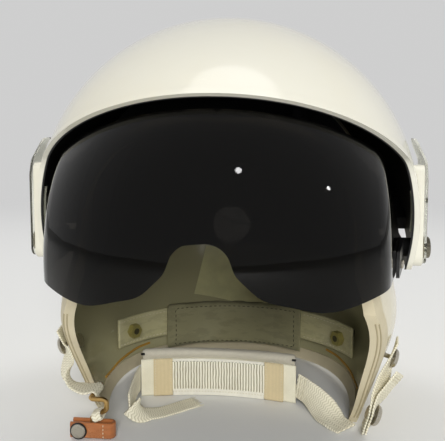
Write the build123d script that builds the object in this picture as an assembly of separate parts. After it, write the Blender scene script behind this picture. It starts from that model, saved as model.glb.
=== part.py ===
from build123d import *
from math import atan2, cos, degrees, radians, sin, sqrt
import os

# Pilot flight helmet, faced along -Y, +Z up, standing on its shell's front tips and nape edge.
# All places are first measured from the dome's vertical axis (y = 0) and the table (z = 0).

# Visor cover
cover_radius = 133.0
cover_wall = 3.0
cover_height = 148.0
rim_drop = 76.0
rim_angle = 32.6
lug_flare = 5.0
bead = 2.4
lug_front = 20.0
lug_rear = 20.0
lug_below = 13.0
lug_face = 131.6
lug_rise = 57.0
lug_corner = 10.0
rear_edge_rise = 71.0
rear_edge_reach = 118.0

# Visor pivot
pivot_height = 124.0
pivot_ahead = 18.0
visor_lift = 50.0

# Visor lens
visor_radius = 128.0
visor_front_curve = 130.0
visor_corner_curve = 34.0
visor_half_width = 116.0
visor_hub = 23.0
visor_side_slope = 0.26
visor_wall = 2.5
visor_top_gap = 6.2
visor_side_edge = 23.0
visor_side_corner = 14.0
notch_height = 24.0
notch_half_width = 15.0
lobe_reach = 62.0
lobe_drop = 14.0
visor_corner_rise = 7.0
visor_lobe_rise = 2.0

# Visor arm
arm_thickness = 2.0
arm_gap = 0.2
arm_hub = 11.0
arm_reach = 46.0
arm_end_width = 17.0
arm_drop = 12.0
rivet_radius = 2.6
rivet_head = 1.4

# Inner shell
shell_wall = 3.2
shell_half_width = 109.0
shell_ear_half_width = 121.0
shell_low_half_width = 116.0
shell_foot_half_width = 94.0
shell_half_depth = 132.5
foot_half_depth = 109.5
shell_rise = 118.0
shell_height = 130.0
shell_back = 10.5
foot_back = 5.5
jaw_half_depth = 118.0
jaw_back = 13.0
ear_height = 87.0
jaw_height = 49.0

# Face opening
opening_half_width = 86.0
opening_top = 204.0
opening_corner = 62.0
cheek_height = 91.0
cheek_ahead = 68.0
tip_ahead = 20.0
foot_arch = 5.0

# Edge binding
binding_width = 7.0
binding_lip = 1.4
binding_fit = 0.05

# Liner and pads
liner_thickness = 16.0
liner_gap = 0.3
liner_low = 96.0
liner_setback = 16.0
pad_thickness = 9.0
brow_pad_width = 150.0
brow_pad_height = 30.0
crown_pad_radius = 30.0
side_pad_radius = 30.0

# Nape band
nape_nut_half_span = 86.0
nape_nut_back = 47.0
nape_height = 34.0
nape_strap_height = 24.5
nape_strap_wall = 2.4
nape_pad_width = 117.0
nape_pad_height = 40.0
nape_pad_wall = 7.0
nape_pad_back = 98.0
nape_pad_aside = 3.0
nape_pad_height_above = 31.0
nut_across = 10.4
nut_height = 5.0
bolt_radius = 2.5
bolt_head_radius = 6.0
bolt_head = 1.8

# Label on the inside of the nape
label_width = 80.0
label_height = 44.0
label_wall = 0.4
label_above = 62.0

# Side hardware
stud_radius = 3.0
stud_head = 6.0
spacer_radius = 8.0
washer_radius = 9.0
washer_wall = 0.8
knob_radius = 7.2
knob_length = 4.6
knob_slot = 1.6
knob_slot_depth = 1.6
knob_flutes = 20
guard_wall = 1.5
guard_gap = 0.3
guard_front = 20.0
guard_rear = 12.0
guard_above = 74.0
guard_bend = 59.0
guard_lean = 6.4
guard_bend_radius = 12.0
guard_below = 8.0
guard_corner = 9.0
guard_screw_above = 33.0
guard_screw_ahead = 4.0
screw_radius = 3.4
screw_head = 1.6
screw_shank = 1.5
fit = 0.15

# Guide clips, bumper, cover screws
clip_width = 6.0
clip_height = 27.0
clip_wall = 1.6
clip_above = 27.0
bumper_width = 7.0
bumper_height = 6.0
bumper_depth = 5.0
bumper_aside = 50.0
cover_screw_lift = 12.0

# Webbing and straps
web_width = 19.0
web_wall = 1.6
anchor_height = 50.0
anchor_ahead = 28.0
snap_radius = 7.2
snap_height = 3.4
snap_post = 1.6
strap_gap = 1.1
strap_top = 12.0
strap_low = 4.0

# Chin strap
chin_length = 117.0
chin_aside = 8.0
chin_back = 11.0
chin_height = 29.0
chin_wall = 4.0
roll_radius = 3.6
keeper_width = 14.0
keeper_wall = 1.0
rib_count = 30
rib_depth = 0.8
chin_curve = 9.0
chin_clear = 1.2

# Hook and leather tab
wire_radius = 1.6
hook_half_width = 7.0
hook_height = 34.0
loop_width = 6.2
slant_high_share = 1.05
slant_low_share = 1.6
tab_length = 26.0
tab_width = 10.6
tab_wall = 2.4
tab_snap_radius = 5.0
tab_eye_radius = 1.2

overrun = 40.0
clear = 0.3
shell_front = shell_half_depth - shell_back
shell_rear = shell_half_depth + shell_back
shell_nape = foot_half_depth + foot_back

pivot_y = -pivot_ahead
rest = {}


def unit_slope(angle):
    """Rise over run of an angle in degrees."""
    return sin(radians(angle)) / cos(radians(angle))


def side_face(points, rounds=()):
    """A side view outline (y, z) with some of its corners rounded: rounds holds (index, radius)."""
    sketch = make_face(Polyline(*points, close=True))
    for index, radius in rounds:
        y, z = points[index]
        corner = sketch.vertices().sort_by_distance(Vector(y, z, 0))[0]
        sketch = fillet(corner, radius)
    return sketch


def across(sketch, half):
    """Extrudes a side view outline to both sides of the middle."""
    return extrude(Plane.YZ * sketch, amount=half, both=True)


def half_space(y0, y1, z0, z1, half):
    """A box given by its side view limits."""
    depth, height = y1 - y0, z1 - z0
    return Pos(0, (y0 + y1) / 2, (z0 + z1) / 2) * Box(2 * half, depth, height)


# Nested bodies of the shell

def ring_section(height, half_width, half_depth, back, grow):
    """Level oval of the skirt."""
    return Pos(0, back, height) * Ellipse(half_width + grow, half_depth + grow)


def shell_body(grow):
    """The shell's body, solid, grown all round: a dome over a flared skirt."""
    wide = 4 * shell_half_depth
    ellipsoid = scale(Rot(0, 0, 45) * Sphere(1), by=(
        shell_half_width + grow, shell_half_depth + grow, shell_rise + grow))
    dome_part = Pos(0, shell_back, shell_height) * (ellipsoid & (Pos(0, 0, wide / 2) * Box(wide, wide, wide)))
    low = overrun / 4
    levels = (
        (-low, shell_foot_half_width - low / 2, foot_half_depth - low / 3, foot_back),
        (0, shell_foot_half_width, foot_half_depth, foot_back),
        (jaw_height, shell_low_half_width, jaw_half_depth, jaw_back),
        (ear_height, shell_ear_half_width, shell_half_depth, shell_back),
        ((shell_height + ear_height) / 2, (shell_half_width + shell_ear_half_width) / 2,
         shell_half_depth, shell_back),
        (shell_height, shell_half_width, shell_half_depth, shell_back),
    )
    skirt = loft([ring_section(*level, grow) for level in levels])
    return dome_part + skirt


def opening_cut(grow):
    """All that is cut from the shell: the face, the slanted cheeks and the foot's arch."""
    top = opening_top + grow
    half = opening_half_width + grow
    low = -2 * overrun
    front_view = make_face(Polyline((-half, low), (half, low), (half, top), (-half, top), close=True))
    corners = front_view.vertices().sort_by(Axis.Y)[-2:]
    front_view = fillet(corners, opening_corner + grow)
    far = shell_front + 2 * overrun
    face = extrude(Plane.XZ * front_view, amount=far)
    wide = shell_ear_half_width + overrun
    run = cheek_ahead - tip_ahead
    slope = cheek_height / run
    shift = grow * sqrt(1 + slope ** 2) / slope
    ahead = cheek_ahead - grow
    cheek = side_face((
        (-far, low), (-tip_ahead + shift - low / slope, low), (-cheek_ahead + shift, cheek_height),
        (-ahead, shell_height), (-far, shell_height)))
    foot_depth = shell_nape + tip_ahead
    middle = (shell_nape - tip_ahead) / 2
    arch_radius = (foot_depth / 2) ** 2 / (2 * foot_arch) + foot_arch / 2
    arch = extrude(Plane.YZ * (Pos(middle, foot_arch - arch_radius) * Circle(arch_radius + grow)),
                   amount=wide, both=True)
    ground = half_space(-far, far, low, grow, wide)
    return face + across(cheek, wide) + arch + ground


body_out = shell_body(0)
body_in = shell_body(-shell_wall)
cut_0 = opening_cut(0)
inner_shell = body_out - body_in - cut_0

band = (opening_cut(binding_width) - opening_cut(0))
lip = cut_0 - opening_cut(-binding_lip)
sleeve = shell_body(binding_lip) - shell_body(-shell_wall - binding_lip)
skin = shell_body(binding_fit) - shell_body(-shell_wall - binding_fit)
edge_binding = (sleeve & (band + lip)) - (skin - opening_cut(-binding_fit))
edge_binding = edge_binding & half_space(-shell_front * 2, shell_rear * 2, 0, opening_top * 2,
                                         shell_ear_half_width * 2)


# Visor: a shell revolved about its pivot

def pod(grow):
    """Solid of revolution of the visor's profile about the pivot axis, grown all round."""
    curve = visor_front_curve + grow
    center = visor_radius - visor_front_curve
    half = visor_half_width + grow
    span = overrun
    disc = Pos(0, center) * Circle(curve)
    lean = visor_side_slope
    top = visor_radius + span
    inset = lean * (top - visor_hub)
    side = grow * (sqrt(1 + lean ** 2) - 1)
    trim = make_face(Polyline((-half, 0), (half, 0), (half, visor_hub), (half + side - inset, top),
                              (-half - side + inset, top), (-half, visor_hub), close=True))
    profile = disc & trim
    tops = profile.vertices().sort_by(Axis.Y)[-2:]
    profile = fillet(tops, visor_corner_curve + grow)
    turned = revolve(Pos(0, pivot_y, pivot_height) * (Plane.XZ * profile),
                     axis=Axis((0, pivot_y, pivot_height), (1, 0, 0)), revolution_arc=360)
    return turned


rim_top = cover_height + rim_drop
rim_fore = sqrt(cover_radius ** 2 - rim_drop ** 2)
rim_slope = unit_slope(rim_angle)
rim_tilt = 1 / cos(radians(rim_angle))
lens_top = rim_top - visor_top_gap
far = shell_front + 2 * overrun


def lens_outline():
    """Side view of the lens: under the rim, ahead of its side edge."""
    edge = pivot_y - visor_side_edge
    top_at_edge = lens_top - rim_slope * (rim_fore + edge)
    points = ((-far, lens_top + rim_slope * (far - rim_fore)), (edge, top_at_edge),
              (edge, pivot_height - overrun), (-far, pivot_height - overrun))
    return across(side_face(points, ((1, visor_side_corner),)), 2 * visor_half_width)


def lens_lower():
    """Front view of what lies under the lens: two lobes and the notch over the nose."""
    notch_share = ((0.0, 1.0), (0.45, 0.97), (0.98, 0.71), (1.2, 0.37), (1.57, 0.11), (2.07, -0.17),
                   (3.0, -0.375))
    left = [(x * notch_half_width, pivot_height + z * notch_height) for x, z in notch_share]
    low = pivot_height - lobe_drop
    right = left + [(lobe_reach, low), ((lobe_reach + visor_half_width) / 2, low + visor_lobe_rise),
                    (visor_half_width, low + visor_corner_rise)]
    mirror = [(-x, z) for x, z in reversed(right[1:])]
    curve = Spline(*(mirror + right))
    base = pivot_height - 3 * overrun
    out = visor_half_width
    rest_line = Polyline(right[-1], (out + overrun, right[-1][1]), (out + overrun, base),
                         (-out - overrun, base), (-out - overrun, mirror[0][1]), mirror[0])
    face = make_face(Curve() + [curve, rest_line])
    return extrude(Plane.XZ * face, amount=2 * far)


visor_lens = (pod(0) - pod(-visor_wall)) & lens_outline()
visor_lens = visor_lens - lens_lower()


def arm_outline():
    """Side view of the arm: a hub round the pivot and a tongue along the lens's side edge."""
    front = pivot_y - arm_reach
    low = pivot_height - arm_drop
    points = ((pivot_y, pivot_height + arm_hub), (pivot_y, pivot_height - arm_hub),
              (front, low), (front, low + arm_end_width))
    tongue = side_face(points, ((2, arm_end_width / 3), (3, arm_end_width / 3)))
    hub = Pos(pivot_y, pivot_height) * Circle(arm_hub)
    return extrude(Plane.YZ * (tongue + hub), amount=2 * visor_half_width)


rivet_back = pivot_y - (visor_side_edge + arm_reach) / 2 - rivet_radius / 2
rivet_low = pivot_height - arm_drop / 3
pivot_hole = Pos(visor_half_width, pivot_y, pivot_height) * Rot(0, 90, 0) * Cylinder(
    stud_radius + fit, 2 * overrun)
arm_right = ((pod(arm_gap + arm_thickness) - pod(arm_gap)) & arm_outline()) - pivot_hole
arm_left = mirror(arm_right, about=Plane.YZ)


def side_normal_x(y, z, grow):
    """Where the visor's side lies at a side view place."""
    r = sqrt((y - pivot_y) ** 2 + (z - pivot_height) ** 2)
    return visor_half_width + grow * sqrt(1 + visor_side_slope ** 2) - visor_side_slope * (r - visor_hub)


def arm_rivet():
    """A round rivet through the arm and the lens."""
    x = side_normal_x(rivet_back, rivet_low, arm_gap + arm_thickness)
    lean = degrees(atan2(visor_side_slope, 1))
    toward = atan2(rivet_low - pivot_height, rivet_back - pivot_y)
    axis = Vector(cos(radians(lean)), sin(radians(lean)) * cos(toward), sin(radians(lean)) * sin(toward))
    base = Plane(origin=(x, rivet_back, rivet_low), z_dir=axis)
    head = base * (Pos(0, 0, rivet_head / 2 + fit) * Cylinder(rivet_radius, rivet_head))
    return fillet(head.edges().filter_by(GeomType.CIRCLE).sort_by_distance(
        Vector(x, rivet_back, rivet_low) + axis * 2 * rivet_head)[0], rivet_head / 2)


rivet_right = arm_rivet()
rivet_left = mirror(rivet_right, about=Plane.YZ)


# Visor cover

def cover_outline(grow):
    """Side view of the cover: slanted rim, lug round the pivot, edge that runs up to the rear."""
    flare = pivot_y - lug_front - lug_flare
    bend_height = rim_top - rim_slope * (rim_fore + flare)
    low = pivot_height - lug_below
    high = cover_height + 2 * cover_radius
    rear_slope = rear_edge_rise / (rear_edge_reach - lug_rear + pivot_ahead)
    fore = pivot_y - lug_front
    aft = pivot_y + lug_rear
    start = pivot_height
    points = ((-far, rim_top + rim_slope * (far - rim_fore)), (flare, bend_height),
              (fore, low), (aft, low), (aft, start), (far, start + rear_slope * (far - aft)),
              (far, high), (-far, high))
    face = side_face(points, ((1, lug_corner * 1.5), (2, lug_corner), (3, lug_corner * 0.8),
                              (4, lug_corner * 0.6)))
    if grow:
        face = offset(face, amount=grow)
    return across(face, 2 * cover_radius)


def dome(grow):
    return Pos(0, 0, cover_height) * Sphere(cover_radius + grow)


def pad_outline(grow):
    """Side view of the flat outer face of a lug."""
    inset = bead
    low = pivot_height - lug_below + inset + grow
    fore, aft = pivot_y - lug_front + inset + grow, pivot_y + lug_rear - inset - grow
    top = pivot_height + lug_rise - grow
    cut = (aft - fore) / 3
    points = ((fore, low), (aft, low), (aft, top - lug_rise / 2), (fore + cut, top), (fore, top))
    r = lug_corner - inset
    return side_face(points, ((0, r), (1, r), (2, r), (3, r), (4, r / 2)))


cover_skin = dome(0) - dome(-cover_wall)
cover_shell = cover_skin & cover_outline(0)
bead_ring = (dome(bead * 0.55) - dome(-cover_wall + bead * 0.1)) & (
    cover_outline(0) - cover_outline(-bead * 1.6))
lug_pad = extrude(Plane.YZ * pad_outline(0), amount=lug_face)
lug_pad = lug_pad - dome(-cover_wall / 2)
visor_cover = cover_shell + bead_ring + lug_pad + mirror(lug_pad, about=Plane.YZ)
bore = Pos(0, pivot_y, pivot_height) * Rot(0, 90, 0) * Cylinder(stud_radius + fit, 4 * cover_radius)
guard_hole_y = pivot_y - guard_screw_ahead
guard_hole_z = pivot_height + guard_screw_above
screw_bore = Pos(0, guard_hole_y, guard_hole_z) * Rot(0, 90, 0) * Cylinder(
    screw_shank + fit, 4 * cover_radius)
flat = Pos(lug_face + overrun, 0, cover_height) * Box(2 * overrun, 4 * overrun, 4 * overrun)
visor_cover = visor_cover - bore - screw_bore - flat - mirror(flat, about=Plane.YZ)
inner_shell = inner_shell - bore


# Parts at the visor's pivots

def x_cylinder(radius, x0, x1, y, z):
    """A cylinder along X between two places."""
    return Pos((x0 + x1) / 2, y, z) * Rot(0, 90, 0) * Cylinder(radius, abs(x1 - x0))


def shell_half_at(y, z):
    """Half width of the upper shell at a side view place."""
    up = (z - shell_height) / shell_rise if z > shell_height else 0
    along = (y - shell_back) / shell_half_depth
    return shell_half_width * sqrt(1 - up ** 2 - along ** 2)


arm_in = visor_half_width + arm_gap
arm_out = arm_in + arm_thickness
cover_in = sqrt((cover_radius - cover_wall) ** 2 - pivot_ahead ** 2 - (cover_height - pivot_height) ** 2)
shell_at_pivot = shell_half_at(pivot_y, pivot_height)
guard_in = lug_face + guard_gap
guard_out = guard_in + guard_wall
washer_in = guard_out + fit / 2
washer_out = washer_in + washer_wall
knob_in = washer_out + fit
knob_out = knob_in + knob_length

stud_start = shell_at_pivot - shell_wall - stud_head / 3 - liner_gap
pivot_stud = x_cylinder(stud_radius, stud_start, knob_in + knob_length / 2, pivot_y, pivot_height)
stud_cap = x_cylinder(stud_head, stud_start - shell_wall / 2, stud_start, pivot_y, pivot_height)
pivot_stud_right = pivot_stud + stud_cap
ring = x_cylinder(stud_radius + fit, 0, 2 * cover_radius, pivot_y, pivot_height)
spacer_solid = x_cylinder(spacer_radius, shell_at_pivot - shell_wall, arm_in - fit, pivot_y, pivot_height)
spacer_right = spacer_solid - ring - shell_body(fit)
outer_spacer_right = (x_cylinder(spacer_radius * 0.8, arm_out + fit, cover_in + cover_wall, pivot_y,
                                 pivot_height) & dome(-cover_wall - fit)) - ring
washer_right = x_cylinder(washer_radius, washer_in, washer_out, pivot_y, pivot_height) - ring


def lock_knob():
    """A round knob with flutes round it and a slot across its face."""
    knob = x_cylinder(knob_radius, knob_in, knob_out, pivot_y, pivot_height)
    rim = knob.edges().filter_by(GeomType.CIRCLE).sort_by(Axis.X)[-1]
    knob = fillet(rim, knob_length / 5)
    flute_radius = knob_radius * 0.09
    for index in range(knob_flutes):
        angle = 360 / knob_flutes * index
        y = pivot_y + knob_radius * cos(radians(angle))
        z = pivot_height + knob_radius * sin(radians(angle))
        knob = knob - x_cylinder(flute_radius, knob_in + knob_length / 4, knob_out + fit, y, z)
    slot = Pos(knob_out, pivot_y, pivot_height) * Box(2 * knob_slot_depth, knob_slot, 3 * knob_radius)
    well = x_cylinder(stud_radius + fit, knob_in - fit, knob_in + knob_length / 2 + fit, pivot_y,
                      pivot_height)
    return knob - slot - well


lock_knob_right = lock_knob()


def guard_outline():
    """Side view of the clear guard: it follows the lug and rises ahead of it."""
    fore, aft = pivot_y - guard_front, pivot_y + guard_rear
    low, top = pivot_height - guard_below, pivot_height + guard_above
    points = ((fore, low), (aft, low), (aft, top - guard_above / 2), (aft - guard_rear / 2, top),
              (fore + guard_corner, top), (fore, top - guard_above / 3))
    r = guard_corner
    return side_face(points, ((0, r * 0.7), (1, r), (2, r), (3, r), (4, r * 0.7), (5, r)))


def guard_section():
    """Front view of the guard: flat on the lug, then leaning in over the dome's side."""
    low = pivot_height - 2 * guard_below
    bend, high = pivot_height + guard_bend, pivot_height + 2 * guard_above
    lean_in = guard_lean * (high - bend) / (guard_above - guard_bend)
    points = ((guard_in, low), (guard_in, bend), (guard_in - lean_in, high),
              (guard_out - lean_in, high), (guard_out, bend), (guard_out, low))
    face = make_face(Polyline(*points, close=True))
    for x in (guard_in, guard_out):
        corner = face.vertices().sort_by_distance(Vector(x, bend, 0))[0]
        face = fillet(corner, guard_bend_radius)
    return extrude(Plane.XZ * face, amount=far, both=True)


guard_blank = extrude(Plane.YZ * guard_outline(), amount=2 * cover_radius) & guard_section()
guard_right = guard_blank - bore - screw_bore
screw_start = lug_face - cover_wall
guard_screw = x_cylinder(screw_shank, screw_start, guard_out + screw_head / 2, guard_hole_y, guard_hole_z)
screw_top = x_cylinder(screw_radius, guard_out + fit / 2, guard_out + screw_head, guard_hole_y,
                       guard_hole_z)
screw_top = fillet(screw_top.edges().filter_by(GeomType.CIRCLE).sort_by(Axis.X)[-1], screw_head / 2)
guard_screw_right = guard_screw + screw_top


def guide_clip():
    """A small clear channel inside the cover's front edge that steadies the visor."""
    y = pivot_y - lug_front + clip_width / 2 + bead
    z = pivot_height + clip_above
    layer = dome(-cover_wall - fit) - dome(-cover_wall - fit - clip_wall)
    block = Pos(cover_radius, y, z) * Box(cover_radius, clip_width, clip_height)
    return layer & block


guide_clip_right = guide_clip()


# Seal and screws at the cover's rear edge

def rear_band(inset, width):
    """A slanted slice beside the cover's rear edge."""
    rise = rear_edge_rise / (rear_edge_reach - lug_rear + pivot_ahead)
    aft = pivot_y + lug_rear
    start_y = aft + lug_rear / 2
    lean = sqrt(1 + rise ** 2)
    z0 = pivot_height + rise * (start_y - aft)
    z1 = pivot_height + rise * (far - aft)
    up0, up1 = inset * lean, (inset + width) * lean
    return across(side_face(((start_y, z0 + up0), (far, z1 + up0), (far, z1 + up1),
                             (start_y, z0 + up1))), 2 * cover_radius)


seal_width = 7.0
seal_strip = (dome(-cover_wall - fit) - shell_body(fit)) & rear_band(bead / 2, seal_width)


def cover_screw(side):
    """A round headed screw square to the dome, near its rear edge."""
    rise = rear_edge_rise / (rear_edge_reach - lug_rear + pivot_ahead)
    aft = pivot_y + lug_rear
    y_share = (0.66, 0.86)
    y = cover_radius * (y_share[1] if side == 0 else y_share[0])
    z = pivot_height + rise * (y - aft) + cover_screw_lift
    x = side * sqrt(max(cover_radius ** 2 - y ** 2 - (z - cover_height) ** 2, 0))
    if side == 0:
        z = cover_height + sqrt(cover_radius ** 2 - y ** 2)
    out = Vector(x, y, z - cover_height).normalized()
    seat = Vector(0, 0, cover_height) + out * (cover_radius + fit / 2)
    base = Plane(origin=seat, z_dir=out)
    head = Pos(0, 0, screw_head / 2) * Cylinder(screw_radius, screw_head)
    head = fillet(head.edges().filter_by(GeomType.CIRCLE).sort_by(Axis.Z)[-1], screw_head / 2)
    return base * head


cover_screws = [cover_screw(side) for side in (-1, 1)]


# Rubber bumper on the brow, beside the middle

bumper_above = opening_top + bumper_height / 2 + binding_width
bumper_box = Pos(bumper_aside, -shell_front, bumper_above) * Box(bumper_width, 2 * shell_front, bumper_height)
rubber_bumper = (shell_body(bumper_depth) - shell_body(fit)) & bumper_box


# Liner and pads

def liner_body():
    layer = shell_body(-shell_wall - liner_gap) - shell_body(-shell_wall - liner_gap - liner_thickness)
    keep = half_space(-far, far, liner_low, 3 * cover_radius, 2 * cover_radius)
    setback = across(side_face(((-far, 0), (-cheek_ahead + liner_setback, 0),
                                (-cheek_ahead + liner_setback, shell_height), (-far, shell_height))),
                     2 * cover_radius)
    heads = (x_cylinder(stud_head + fit, -2 * cover_radius, 2 * cover_radius, pivot_y, pivot_height))
    return (layer & keep) - opening_cut(liner_setback) - setback - heads


foam_liner = liner_body()
pad_deep = shell_wall + 2 * liner_gap + liner_thickness


def inner_pad(mask):
    layer = shell_body(-pad_deep) - shell_body(-pad_deep - pad_thickness)
    return layer & mask


brow_pad = inner_pad(Pos(0, -cover_radius / 2, opening_top + brow_pad_height / 2 + liner_setback) * Box(
    brow_pad_width, cover_radius, brow_pad_height)) - opening_cut(liner_setback)
crown_disc = Pos(0, shell_back + crown_pad_radius, shell_height + shell_rise / 2) * Cylinder(crown_pad_radius, shell_rise)
crown_pad = inner_pad(crown_disc)
side_disc = Pos(shell_half_width / 2, shell_back + side_pad_radius, shell_height + side_pad_radius / 2) * Rot(
    0, 90, 0) * Cylinder(side_pad_radius, shell_half_width)
side_pad_right = inner_pad(side_disc)
rear_pad = inner_pad(Pos(0, shell_rear / 2 + side_pad_radius, shell_height + side_pad_radius / 2) * Rot(
    90, 0, 0) * Cylinder(side_pad_radius, shell_rear))


# Nape band

def plan_arc(half_span, back_end, back_mid, wall):
    """Plan view of a band bowed to the rear through two ends and a middle, with a wall."""
    sag = back_mid - back_end
    radius = (half_span ** 2 + sag ** 2) / (2 * sag)
    center = back_mid - radius
    ring_face = Pos(0, center) * Circle(radius + wall) - Pos(0, center) * Circle(radius)
    reach = half_span + wall
    keep = Pos(0, back_end + reach) * Rectangle(2 * half_span, 2 * reach)
    return ring_face & keep


nape_end = nape_nut_half_span + nut_across * 0.75
nape_end_back = nape_nut_back - nut_across * 0.6
band_low = nape_height - nape_strap_height / 2
nape_band = extrude(Pos(0, 0, band_low) * plan_arc(nape_end, nape_end_back, nape_pad_back, nape_strap_wall),
                    amount=nape_strap_height)
sag = nape_pad_back - nape_end_back
nape_radius = (nape_end ** 2 + sag ** 2) / (2 * sag)
nape_center = nape_pad_back - nape_radius


def arc_ring(inner, outer, low, high, half):
    """A level ring about the nape band's center, kept within a half width at the rear."""
    ring_solid = Pos(0, nape_center, (low + high) / 2) * (
        Cylinder(outer, high - low) - Cylinder(inner, 2 * (high - low)))
    return ring_solid & (Pos(-nape_pad_aside, nape_center + outer, (low + high) / 2) * Box(
        2 * half, 2 * outer, 2 * (high - low)))


pad_low = nape_pad_height_above - nape_pad_height / 2
nape_pad = arc_ring(nape_radius - fit - nape_pad_wall, nape_radius - fit, pad_low,
                    pad_low + nape_pad_height, nape_pad_width / 2)
long_edges = nape_pad.edges().filter_by(GeomType.CIRCLE).group_by(SortBy.RADIUS)[0]
nape_pad = fillet(long_edges, nape_pad_wall * 0.45)


def nut_frame(side):
    """Plane at a nut of the nape band, facing the middle of the helmet."""
    x = side * nape_nut_half_span
    y = nape_center + sqrt(nape_radius ** 2 - x ** 2)
    inward = Vector(-x, nape_center - y, 0).normalized()
    return Plane(origin=(x, y, nape_height), z_dir=inward)


def nape_nut(side):
    place = nut_frame(side)
    hexagon = RegularPolygon(radius=nut_across / 2, side_count=6, major_radius=False)
    nut = extrude(hexagon, amount=nut_height) - Cylinder(bolt_radius + fit, 4 * nut_height)
    return place * (Pos(0, 0, fit) * nut)


def nape_bolt(side):
    """Bolt from outside the shell through the band and its nut."""
    place = nut_frame(side)
    shank = Pos(0, 0, nut_height * 0.6 - overrun / 2) * Cylinder(bolt_radius, overrun + nut_height)
    solid = place * shank
    solid = solid & shell_body(bolt_head * 0.3)
    return solid


nape_nuts = {side: nape_nut(side) for side in (-1, 1)}
nape_bolts = {}
for side in (-1, 1):
    place = nut_frame(side)
    long_hole = place * Cylinder(bolt_radius + fit, 2 * overrun)
    wide_head = place * (Pos(0, 0, -overrun / 2) * Cylinder(bolt_head_radius, overrun))
    head = wide_head & (shell_body(bolt_head + fit) - shell_body(fit))
    nape_bolts[side] = nape_bolt(side) + head
    nape_band = nape_band - long_hole
    inner_shell = inner_shell - long_hole

standoffs = {}
for side in (-1, 1):
    place = nut_frame(side)
    tube = place * (Pos(0, 0, -overrun / 2 - nape_strap_wall - fit) * (
        Cylinder(bolt_radius * 2, overrun) - Cylinder(bolt_radius + fit, 2 * overrun)))
    standoffs[side] = tube & shell_body(-shell_wall - fit)

# Bare label inside the nape
label_layer = shell_body(-shell_wall - fit) - shell_body(-shell_wall - fit - label_wall)
bare_label = label_layer & (Pos(0, shell_rear, label_above) * Rot(0, 12, 0) * Box(
    label_width, shell_rear, label_height))


# Webbing

def ribbon(points, sides, width, wall):
    """A flat strap through center points, with the direction of its width at each."""
    faces = []
    for index, point in enumerate(points):
        here = Vector(*point)
        after = Vector(*points[min(index + 1, len(points) - 1)])
        before = Vector(*points[max(index - 1, 0)])
        along = (after - before).normalized()
        wide = Vector(*sides[index])
        wide = (wide - along * wide.dot(along)).normalized()
        faces.append(Plane(origin=here, x_dir=wide, z_dir=along) * Rectangle(width, wall))
    return loft(faces, ruled=True)


def surface_x(y, z):
    """Half width of the shell at a side view place, taken from the shell itself."""
    probe = x_cylinder(screw_shank / 5, 0, 2 * shell_ear_half_width, y, z)
    return (body_out & probe).bounding_box().max.X


anchor_y = -anchor_ahead
rear_side = anchor_y + web_width / 2
shell_low_x = surface_x(rear_side, anchor_height)
lean = (surface_x(rear_side, anchor_height + strap_top) - shell_low_x) / strap_top
lean_angle = degrees(atan2(lean, 1))
anchor_x = shell_low_x + strap_gap + web_wall / 2
strap_reach = anchor_height - strap_low / 2
# Places down the strap: outward share of its thickness, ahead share of its width, drop share
strap_shares = ((0.0, 0.0, 0.0), (0.21, -0.12, -0.28), (0.43, -0.3, -0.53), (0.66, -0.37, -0.76),
                (0.86, -0.37, -1.0))
strap_shift = shell_low_half_width - shell_foot_half_width


def strap_route(extra):
    """Right strap's center line, moved outward by extra sizes."""
    route = []
    for (inward, ahead, drop), out in zip(strap_shares, extra):
        route.append((anchor_x - inward * strap_shift + out, anchor_y + ahead * web_width,
                      anchor_height + drop * strap_reach))
    top = (anchor_x + lean * strap_top + extra[0], anchor_y, anchor_height + strap_top)
    return [top] + route


layer_step = web_wall + clear
inner_route = strap_route((0, 0, 0, 0, 0))
side_dirs = [(0, 1, 0)] * len(inner_route)
anchor_frame = Plane(origin=(anchor_x, anchor_y, anchor_height), x_dir=(0, 1, 0), z_dir=(
    cos(radians(lean_angle)), 0, -sin(radians(lean_angle))))
post_bore = anchor_frame * Cylinder(snap_post + fit, overrun)
right_strap = ribbon(inner_route, side_dirs, web_width, web_wall) - post_bore

snap_place = inner_route[-2]
snap_lean = Vector(*inner_route[-1]) - Vector(*inner_route[-3])
snap_axis = Vector(-snap_lean.Z, 0, snap_lean.X).normalized()
snap_y = snap_place[1]
snap_frame = Plane(origin=snap_place, z_dir=snap_axis, x_dir=(0, 1, 0))
outer_route = strap_route((layer_step * 4, layer_step * 2.6, layer_step * 1.5, layer_step * 1.1,
                           layer_step * 1.05))[3:]
outer_top = (anchor_x + 3 * layer_step, outer_route[0][1] + web_wall * 2,
             anchor_height - snap_radius - web_wall * 2)
outer_route = [outer_top] + outer_route
snap_bore = snap_frame * Cylinder(snap_post + fit, overrun / 2)
right_strap = right_strap - snap_bore
right_strap_fold = ribbon(outer_route, [(0, 1, 0)] * len(outer_route), web_width, web_wall) - snap_bore


def domed_cap(radius, height, lift):
    """A round cap with a full round edge, standing on the plane z = lift."""
    cap = Pos(0, 0, lift + height / 2) * Cylinder(radius, height)
    return fillet(cap.edges().filter_by(GeomType.CIRCLE).sort_by(Axis.Z)[-1], height * 0.8)


snap_lift = layer_step * 1.35 + web_wall / 2 + fit
snap_back = web_wall / 2 + fit
right_snap = snap_frame * (
    domed_cap(snap_radius, snap_height, snap_lift)
    + Pos(0, 0, (snap_lift - snap_back) / 2) * Cylinder(snap_post, snap_lift + snap_back)
    + Pos(0, 0, -snap_back - washer_wall / 2) * Cylinder(snap_radius * 0.6, washer_wall))

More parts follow.
